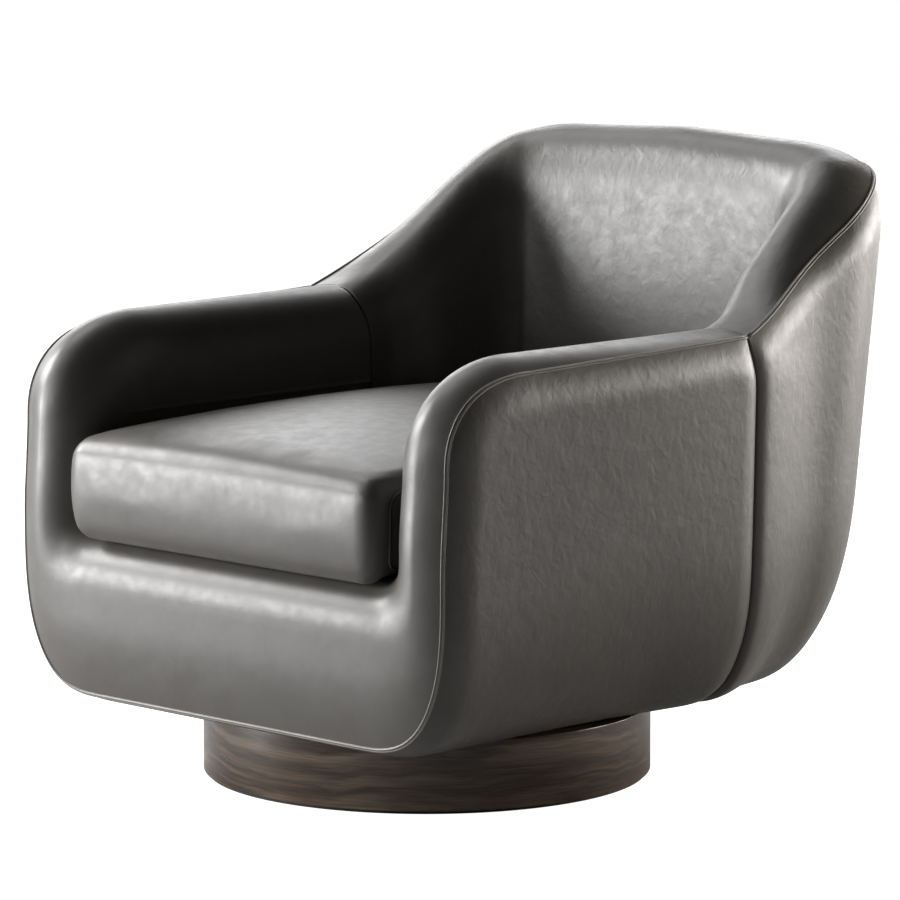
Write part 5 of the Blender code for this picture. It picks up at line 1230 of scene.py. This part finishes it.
def wire_along(tree, curve, radius, sides):
    """A round wire with closed ends along a curve."""
    section = add_node(tree, "GeometryNodeCurvePrimitiveCircle", {"Resolution": sides}, {"Radius": radius})
    return add_node(tree, "GeometryNodeCurveToMesh", {"Fill Caps": True},
                    {"Curve": curve, "Profile Curve": section.outputs["Curve"]}).outputs["Mesh"]


def grown(name, path, tree, values):
    """Run a Geometry Nodes tree on a path and return the plain mesh that it makes."""
    holder = bpy.data.objects.new(name + "_path", path)
    bpy.context.scene.collection.objects.link(holder)
    modifier = holder.modifiers.new("grow", "NODES")
    modifier.node_group = tree
    for item in tree.interface.items_tree:
        if item.item_type == "SOCKET" and item.in_out == "INPUT" and item.name in values:
            modifier[item.identifier] = values[item.name]
    bpy.context.view_layer.update()
    evaluated = holder.evaluated_get(bpy.context.evaluated_depsgraph_get())
    mesh = bpy.data.meshes.new_from_object(evaluated)
    mesh.name = name
    holder.modifiers.remove(modifier)
    bpy.data.objects.remove(holder)
    return mesh


def path_mesh(name, points):
    """A line of points as a mesh."""
    corners = [tuple(map(float, point)) for point in points]
    mesh = bpy.data.meshes.new(name)
    mesh.from_pydata(corners, [(index, index + 1) for index in range(len(corners) - 1)], [])
    return mesh


def staple_tree(material):
    """Staples along a path: a short round wire at even steps, turned along the path."""
    tree, given = geometry_tree("staples", {"Spacing": 0.03, "Width": 0.01, "Wire radius": 0.0005})
    line = add_node(tree, "GeometryNodeMeshToCurve", {}, {"Mesh": given["Geometry"]})
    even = add_node(tree, "GeometryNodeResampleCurve", {},
                    {"Curve": line.outputs["Curve"], "Length": given["Spacing"]}, mode="LENGTH")
    kept = add_node(tree, "GeometryNodeCaptureAttribute", {}, {"Geometry": even.outputs["Curve"]})
    kept.capture_items.new("VECTOR", "Along")
    tree.links.new(add_node(tree, "GeometryNodeInputTangent").outputs["Tangent"], kept.inputs["Along"])
    points = add_node(tree, "GeometryNodeCurveToPoints", {}, {"Curve": kept.outputs["Geometry"]},
                      mode="EVALUATED")
    turn = add_node(tree, "FunctionNodeAlignRotationToVector", {}, {"Vector": kept.outputs["Along"]},
                    axis="X")
    ends = {}
    for end, share in (("Start", -0.5), ("End", 0.5)):
        half = add_node(tree, "ShaderNodeMath", {1: share}, {0: given["Width"]}, operation="MULTIPLY")
        corner = add_node(tree, "ShaderNodeCombineXYZ", {}, {"X": half.outputs["Value"]})
        ends[end] = corner.outputs["Vector"]
    straight = add_node(tree, "GeometryNodeCurvePrimitiveLine", {}, ends)
    staple = wire_along(tree, straight.outputs["Curve"], given["Wire radius"], 6)
    row = add_node(tree, "GeometryNodeInstanceOnPoints", {},
                   {"Points": points.outputs["Points"], "Instance": staple,
                    "Rotation": turn.outputs["Rotation"]})
    return close_tree(tree, row.outputs["Instances"], material)


staple_path = [(r * math.cos(angle), r * math.sin(angle), dust_low.z)
               for r, angle in zip(reach - STAPLE_INSET, turns)]
staple_sizes = {"Spacing": STAPLE_SPACING, "Width": STAPLE_WIDTH, "Wire radius": STAPLE_WIRE}
staple_mesh = grown("dust_cloth_staples", path_mesh("staple_path", staple_path + staple_path[:1]),
                    staple_tree(zinc), staple_sizes)
staple_mesh.shade_smooth()
add_piece("dust_cloth_staples", staple_mesh, zinc, "tub")


# The seat cushion: a loose, boxed leather cushion of foam in a fibre wrap, with a crowned top that rolls
# over the front edge. Its sides have a sewn boxing with a fine seam all round, and its rear has the zip.
CUSHION_EDGE_HEIGHT = 0.108
CUSHION_CROWN = 0.037
CUSHION_BELLY = 0.003
CUSHION_EDGE_RADIUS = 0.021
CUSHION_LOWER_DRAW = 0.006
CUSHION_LOWER_REACH = 0.060
CUSHION_DROOP = 0.0085
CUSHION_DROOP_Y = -0.285
CUSHION_DROOP_RUN = 0.045
CUSHION_CELLS = (76, 96, 28)
CUSHION_TRIM = 0.0048
CUSHION_START_INSET = 0.001
CUSHION_VOXEL = 0.0060
CUSHION_PRESSURE = 4.0
CUSHION_FRAMES = 20
CUSHION_CAP = 0.0060
CUSHION_SHARE = 0.45
CUSHION_CALM_PASSES = 10
CUSHION_END_BELLY = 0.8
CUSHION_CROWDING = 0.86
cushion_low, cushion_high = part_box("seat_cushion")


def front_droop(y):
    """How far the cushion's underside comes down in front, over the rail's round top."""
    return CUSHION_DROOP * ease((CUSHION_DROOP_Y - y) / CUSHION_DROOP_RUN)


def cushion_place(across, along, up):
    """Points of the cushion's surface for places on the surface of a cube from -1 to 1."""
    half_y = (cushion_high.y - cushion_low.y) / 2 - CUSHION_BELLY * CUSHION_END_BELLY
    centre_y = (cushion_high.y + cushion_low.y) / 2
    half_z = CUSHION_EDGE_HEIGHT / 2
    half_x = ARM_INNER_X - CUSHION_TRIM - CUSHION_BELLY
    half = np.array([half_x, half_y, half_z])
    flat = np.stack([across * half_x, along * half_y, up * half_z], -1)
    core = np.clip(flat, -half + CUSHION_EDGE_RADIUS, half - CUSHION_EDGE_RADIUS)
    away = flat - core
    length = np.linalg.norm(away, axis=-1, keepdims=True)
    flat = np.where(length > 1e-9, core + away / np.maximum(length, 1e-9) * CUSHION_EDGE_RADIUS, flat)
    over = flat / half
    lift = np.maximum(over[..., 2], 0.0)
    crown = CUSHION_CROWN * np.sqrt(np.maximum(1 - over[..., 0] ** 2, 0))
    crown = crown * np.sqrt(np.maximum(1 - over[..., 1] ** 2, 0)) * lift
    height = flat[..., 2] + half_z
    low = np.maximum(1 - height / CUSHION_LOWER_REACH, 0.0) ** 2
    bulge = CUSHION_BELLY * (1 - over[..., 2] ** 2) - CUSHION_LOWER_DRAW * low
    y = centre_y + flat[..., 1] + bulge * over[..., 1] * np.abs(over[..., 1]) ** 3 * CUSHION_END_BELLY
    room = np.interp(y, well_y, well_x) - CUSHION_TRIM
    x = flat[..., 0] + bulge * over[..., 0] * np.abs(over[..., 0]) ** 3
    x = x * np.minimum(room / (half_x + CUSHION_BELLY), 1.0)
    droop = front_droop(y) * np.maximum(1 - height / CUSHION_EDGE_HEIGHT, 0.0)
    return np.stack([x, y, cushion_low.z + height + crown - droop], -1)


def crowded(count):
    """Shares from -1 to 1 that crowd towards both ends."""
    turned = np.linspace(-1, 1, count + 1) * math.pi / 2 * CUSHION_CROWDING
    return np.sin(turned) / math.sin(math.pi / 2 * CUSHION_CROWDING)


def box_of_grids(name, place, counts):
    """A closed mesh from six grids of a cube's faces, welded at their borders."""
    shares = [crowded(count) for count in counts]
    vertices = []
    faces = []
    for axis in range(3):
        first, second = [other for other in range(3) if other != axis]
        for end in (-1.0, 1.0):
            one, two = np.meshgrid(shares[first], shares[second], indexing="ij")
            cube = [None, None, None]
            cube[axis], cube[first], cube[second] = np.full(one.shape, end), one, two
            start = len(vertices)
            vertices += place(*cube).reshape(-1, 3).tolist()
            index = start + np.arange(one.size).reshape(one.shape)
            quads = np.stack([index[:-1, :-1], index[1:, :-1], index[1:, 1:], index[:-1, 1:]], -1)
            faces += quads.reshape(-1, 4).tolist()
    return outward_mesh(name, vertices, faces, 1e-5)


def read_points(mesh, what="co"):
    """The places of a mesh's points, or their normals."""
    flat = np.empty(len(mesh.vertices) * 3)
    mesh.vertices.foreach_get(what, flat)
    return flat.reshape(-1, 3)


def plain_copy(piece):
    """A piece's mesh as its modifiers leave it."""
    return bpy.data.meshes.new_from_object(piece.evaluated_get(bpy.context.evaluated_depsgraph_get()))


def inflated(mesh):
    """The cushion's cover blown up by its filling, as a cloth that keeps close to its cut."""
    holder = bpy.data.objects.new("filling", mesh)
    bpy.context.scene.collection.objects.link(holder)
    remesh = holder.modifiers.new("even", "REMESH")
    remesh.mode = "VOXEL"
    remesh.voxel_size = CUSHION_VOXEL
    holder.data = plain_copy(holder)
    holder.modifiers.clear()
    smooth = holder.modifiers.new("calm", "SMOOTH")
    smooth.iterations = 4
    holder.data = plain_copy(holder)
    holder.modifiers.clear()
    start = read_points(holder.data)
    smaller = start - read_points(holder.data, "normal") * CUSHION_START_INSET
    holder.data.vertices.foreach_set("co", smaller.ravel())
    cloth = holder.modifiers.new("cover", "CLOTH")
    cloth.settings.quality = 4
    cloth.settings.use_pressure = True
    cloth.settings.uniform_pressure_force = CUSHION_PRESSURE
    cloth.settings.tension_stiffness = 30.0
    cloth.settings.compression_stiffness = 30.0
    cloth.settings.bending_stiffness = 1.5
    cloth.settings.effector_weights.gravity = 0.0
    cloth.collision_settings.use_collision = False
    for step in range(1, CUSHION_FRAMES + 1):
        bpy.context.scene.frame_set(step)
    blown = plain_copy(holder)
    holder.modifiers.clear()
    bpy.context.scene.frame_set(1)
    moved = read_points(blown) - start
    edges = np.array([edge.vertices[:] for edge in blown.edges])
    count = np.bincount(edges.ravel(), minlength=len(start))[:, None]
    for _ in range(CUSHION_CALM_PASSES):
        total = np.zeros_like(moved)
        np.add.at(total, edges[:, 0], moved[edges[:, 1]])
        np.add.at(total, edges[:, 1], moved[edges[:, 0]])
        moved = 0.5 * moved + 0.5 * total / count
    length = np.linalg.norm(moved, axis=1, keepdims=True)
    moved *= CUSHION_SHARE * np.minimum(1.0, CUSHION_CAP / np.maximum(length, 1e-9))
    bpy.data.objects.remove(holder)
    blown.vertices.foreach_set("co", (start + moved).ravel())
    return blown


def kept_in_the_well(points):
    """Hold the cushion off the arms and the deck, where it would press against them."""
    room = np.interp(points[:, 1], well_y, well_x) - CUSHION_TRIM
    points[:, 0] = np.clip(points[:, 0], -room, room)
    points[:, 2] = np.maximum(points[:, 2], cushion_low.z - front_droop(points[:, 1]))
    return points


cushion_mesh = box_of_grids("seat_cushion_cover", cushion_place, CUSHION_CELLS)
cushion_mesh = inflated(cushion_mesh)
cushion_mesh.vertices.foreach_set("co", kept_in_the_well(read_points(cushion_mesh)).ravel())
cushion_mesh.name = "seat_cushion_cover"
cushion_mesh.shade_smooth()
cushion = add_piece("seat_cushion_cover", cushion_mesh, smooth_leather, "cushion",
                    ("seat_cushion",))

BOXING_RISE = 0.0026
BOXING_SINK = 0.0004
BOXING_THICKNESS = 0.002
BOXING_REACH = (0.915, 0.86)
BOXING_POWER = 9.0
BOXING_BORDER_POWERS = (40, 14)
BOXING_CELLS = (88, 26)
BOXING_CORD = 0.0008
BOXING_CORD_RISE = 0.0003
lengthwise = np.linspace(-1, 1, BOXING_CELLS[0] + 1)
upright = np.linspace(-1, 1, BOXING_CELLS[1] + 1)
border = 1 - np.maximum(np.abs(lengthwise)[:, None] ** BOXING_BORDER_POWERS[0],
                        np.abs(upright)[None] ** BOXING_BORDER_POWERS[1])
along, up = np.meshgrid(lengthwise, upright, indexing="ij")
rounded = (np.abs(along) ** BOXING_POWER + np.abs(up) ** BOXING_POWER) ** (1 / BOXING_POWER)
squeeze = (np.maximum(np.abs(along), np.abs(up)) + 1e-9) / (rounded + 1e-9)
along, up = along * squeeze * BOXING_REACH[0], up * squeeze * BOXING_REACH[1]
for side, node in ((1.0, "cushion_boxing_left"), (-1.0, "cushion_boxing_right")):
    sideways = np.array([side, 0.0, 0.0])
    face = cushion_place(np.full(along.shape, side), along, up)
    outer = face + sideways * (BOXING_RISE * border - BOXING_SINK)[..., None]
    inner = face - sideways * BOXING_THICKNESS
    if side < 0:
        outer, inner = outer[::-1], inner[::-1]
    mesh = closed_pad(node + "_panel", outer[:, ::-1], inner[:, ::-1])
    boxing = add_piece(node + "_panel", mesh, smooth_leather, "cushion", (node,))
    rim = np.concatenate([face[:, 0], face[-1, 1:], face[-2::-1, -1], face[0, -2::-1]])
    rim_normals = np.tile(sideways, (len(rim), 1))
    cord_mesh = sweep(node + "_cord", rim, rim_normals, cord_profile(BOXING_CORD, BOXING_CORD_RISE), 0.0)
    add_piece(node + "_cord", cord_mesh, smooth_leather, "cushion")


# The zip: a coil zip sewn into a strip of the same hide at the cushion's rear. Its slider has a bridge and
# a small pull that hangs down.
ZIP_LENGTH = 0.290
ZIP_COIL_RADIUS = 0.0013
ZIP_WIRE_RADIUS = 0.00028
ZIP_TURNS = 190
ZIP_PANEL_CELLS = (60, 18)
ZIP_PANEL_REACH = (0.66, 0.80)
ZIP_PANEL_RISE = 0.0028
ZIP_PANEL_THICKNESS = 0.002
ZIP_SLOT_WIDTH = 0.0045
ZIP_SLOT_DEPTH = 0.0022
ZIP_COIL_RISE = 0.0003
slider_low, slider_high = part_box("zip_slider")
zip_z = (slider_low.z + slider_high.z) / 2
backwards = np.array([0.0, 1.0, 0.0])
across, up = np.meshgrid(*[np.linspace(-share, share, count + 1)
                           for share, count in zip(ZIP_PANEL_REACH, ZIP_PANEL_CELLS)], indexing="ij")
face = cushion_place(across, np.full(across.shape, 1.0), up)
slot = np.clip(1 - np.abs(face[..., 2] - zip_z) / ZIP_SLOT_WIDTH, 0, 1)
outer = face + backwards * (ZIP_PANEL_RISE - ZIP_SLOT_DEPTH * slot)[..., None]
strip_mesh = closed_pad("zip_panel_strip", outer, face - backwards * ZIP_PANEL_THICKNESS)
strip = add_piece("zip_panel_strip", strip_mesh, smooth_leather, "cushion", ("zip_panel",))


def coil_tree(material):
    """A coil of wire of a given length, radius and number of turns, along X."""
    sizes = {"Length": 0.3, "Coil radius": 0.001, "Wire radius": 0.0003, "Turns": 100.0}
    tree, given = geometry_tree("zip_coil", sizes, ["Start"])
    coil = add_node(tree, "GeometryNodeCurveSpiral", {"Resolution": 7},
                    {"Height": given["Length"], "Start Radius": given["Coil radius"],
                     "End Radius": given["Coil radius"], "Rotations": given["Turns"]})
    wire = wire_along(tree, coil.outputs["Curve"], given["Wire radius"], 4)
    laid = add_node(tree, "GeometryNodeTransform", {"Rotation": (0.0, math.pi / 2, 0.0)},
                    {"Geometry": wire, "Translation": given["Start"]})
    return close_tree(tree, laid.outputs["Geometry"], material)


coil_material, tree, shader = shader_nodes("zip_coil_nylon", (0.055, 0.052, 0.050), 0.5)
coil_cloud = noise_texture(tree, 400.0, 3.0)
toned(tree, shader, coil_cloud, [(0.3, (0.040, 0.038, 0.036)), (0.7, (0.070, 0.067, 0.064))], 0.0001)
coil_y = float(face[..., 1].max()) + ZIP_COIL_RADIUS + ZIP_COIL_RISE
coil_mesh = grown("zip_coil", path_mesh("zip_line", [(0, 0, 0), (0.01, 0, 0)]), coil_tree(coil_material),
                  {"Length": ZIP_LENGTH, "Coil radius": ZIP_COIL_RADIUS, "Wire radius": ZIP_WIRE_RADIUS,
                   "Turns": float(ZIP_TURNS), "Start": (-ZIP_LENGTH / 2, coil_y, zip_z)})
coil_mesh.shade_smooth()
add_piece("zip_coil", coil_mesh, coil_material, "cushion")

PULL_LENGTH = 0.014
PULL_WIDTH = 0.0050
PULL_THICKNESS = 0.0010
PULL_INSET = 0.0020
PULL_RISE = 0.0008
PULL_LAP = 0.004
BRIDGE_INSET = 0.0028
BRIDGE_HEIGHT = 0.0009
BRIDGE_LAP = 0.0003
BRIDGE_END_INSET = 0.0015
SLIDER_BEVEL = 0.000385
slider_top = slider_high.y - BRIDGE_HEIGHT
pull_x = slider_low.x + PULL_INSET
pull_y = slider_high.y - PULL_RISE
pull_z = slider_low.z + PULL_LAP
SLIDER_BOXES = (
    (slider_low, (slider_high.x, slider_top, slider_high.z)),
    ((slider_low.x + BRIDGE_INSET, slider_top - BRIDGE_LAP, slider_low.z + BRIDGE_END_INSET),
     (slider_high.x - BRIDGE_INSET, slider_high.y, slider_high.z - BRIDGE_END_INSET)),
    ((pull_x, pull_y, pull_z - PULL_LENGTH), (pull_x + PULL_WIDTH, pull_y + PULL_THICKNESS, pull_z)),
)
bm = bmesh.new()
for low, high in SLIDER_BOXES:
    for vert in bmesh.ops.create_cube(bm, size=1.0)["verts"]:
        for axis in range(3):
            vert.co[axis] = low[axis] + (vert.co[axis] + 0.5) * (high[axis] - low[axis])
bmesh.ops.bevel(bm, geom=bm.edges, offset=SLIDER_BEVEL, segments=3, profile=0.6, affect="EDGES")
slider_mesh = smooth_mesh("zip_slider_and_pull", bm, 50)
add_piece("zip_slider_and_pull", slider_mesh, zinc, "zip", ("zip_slider",))
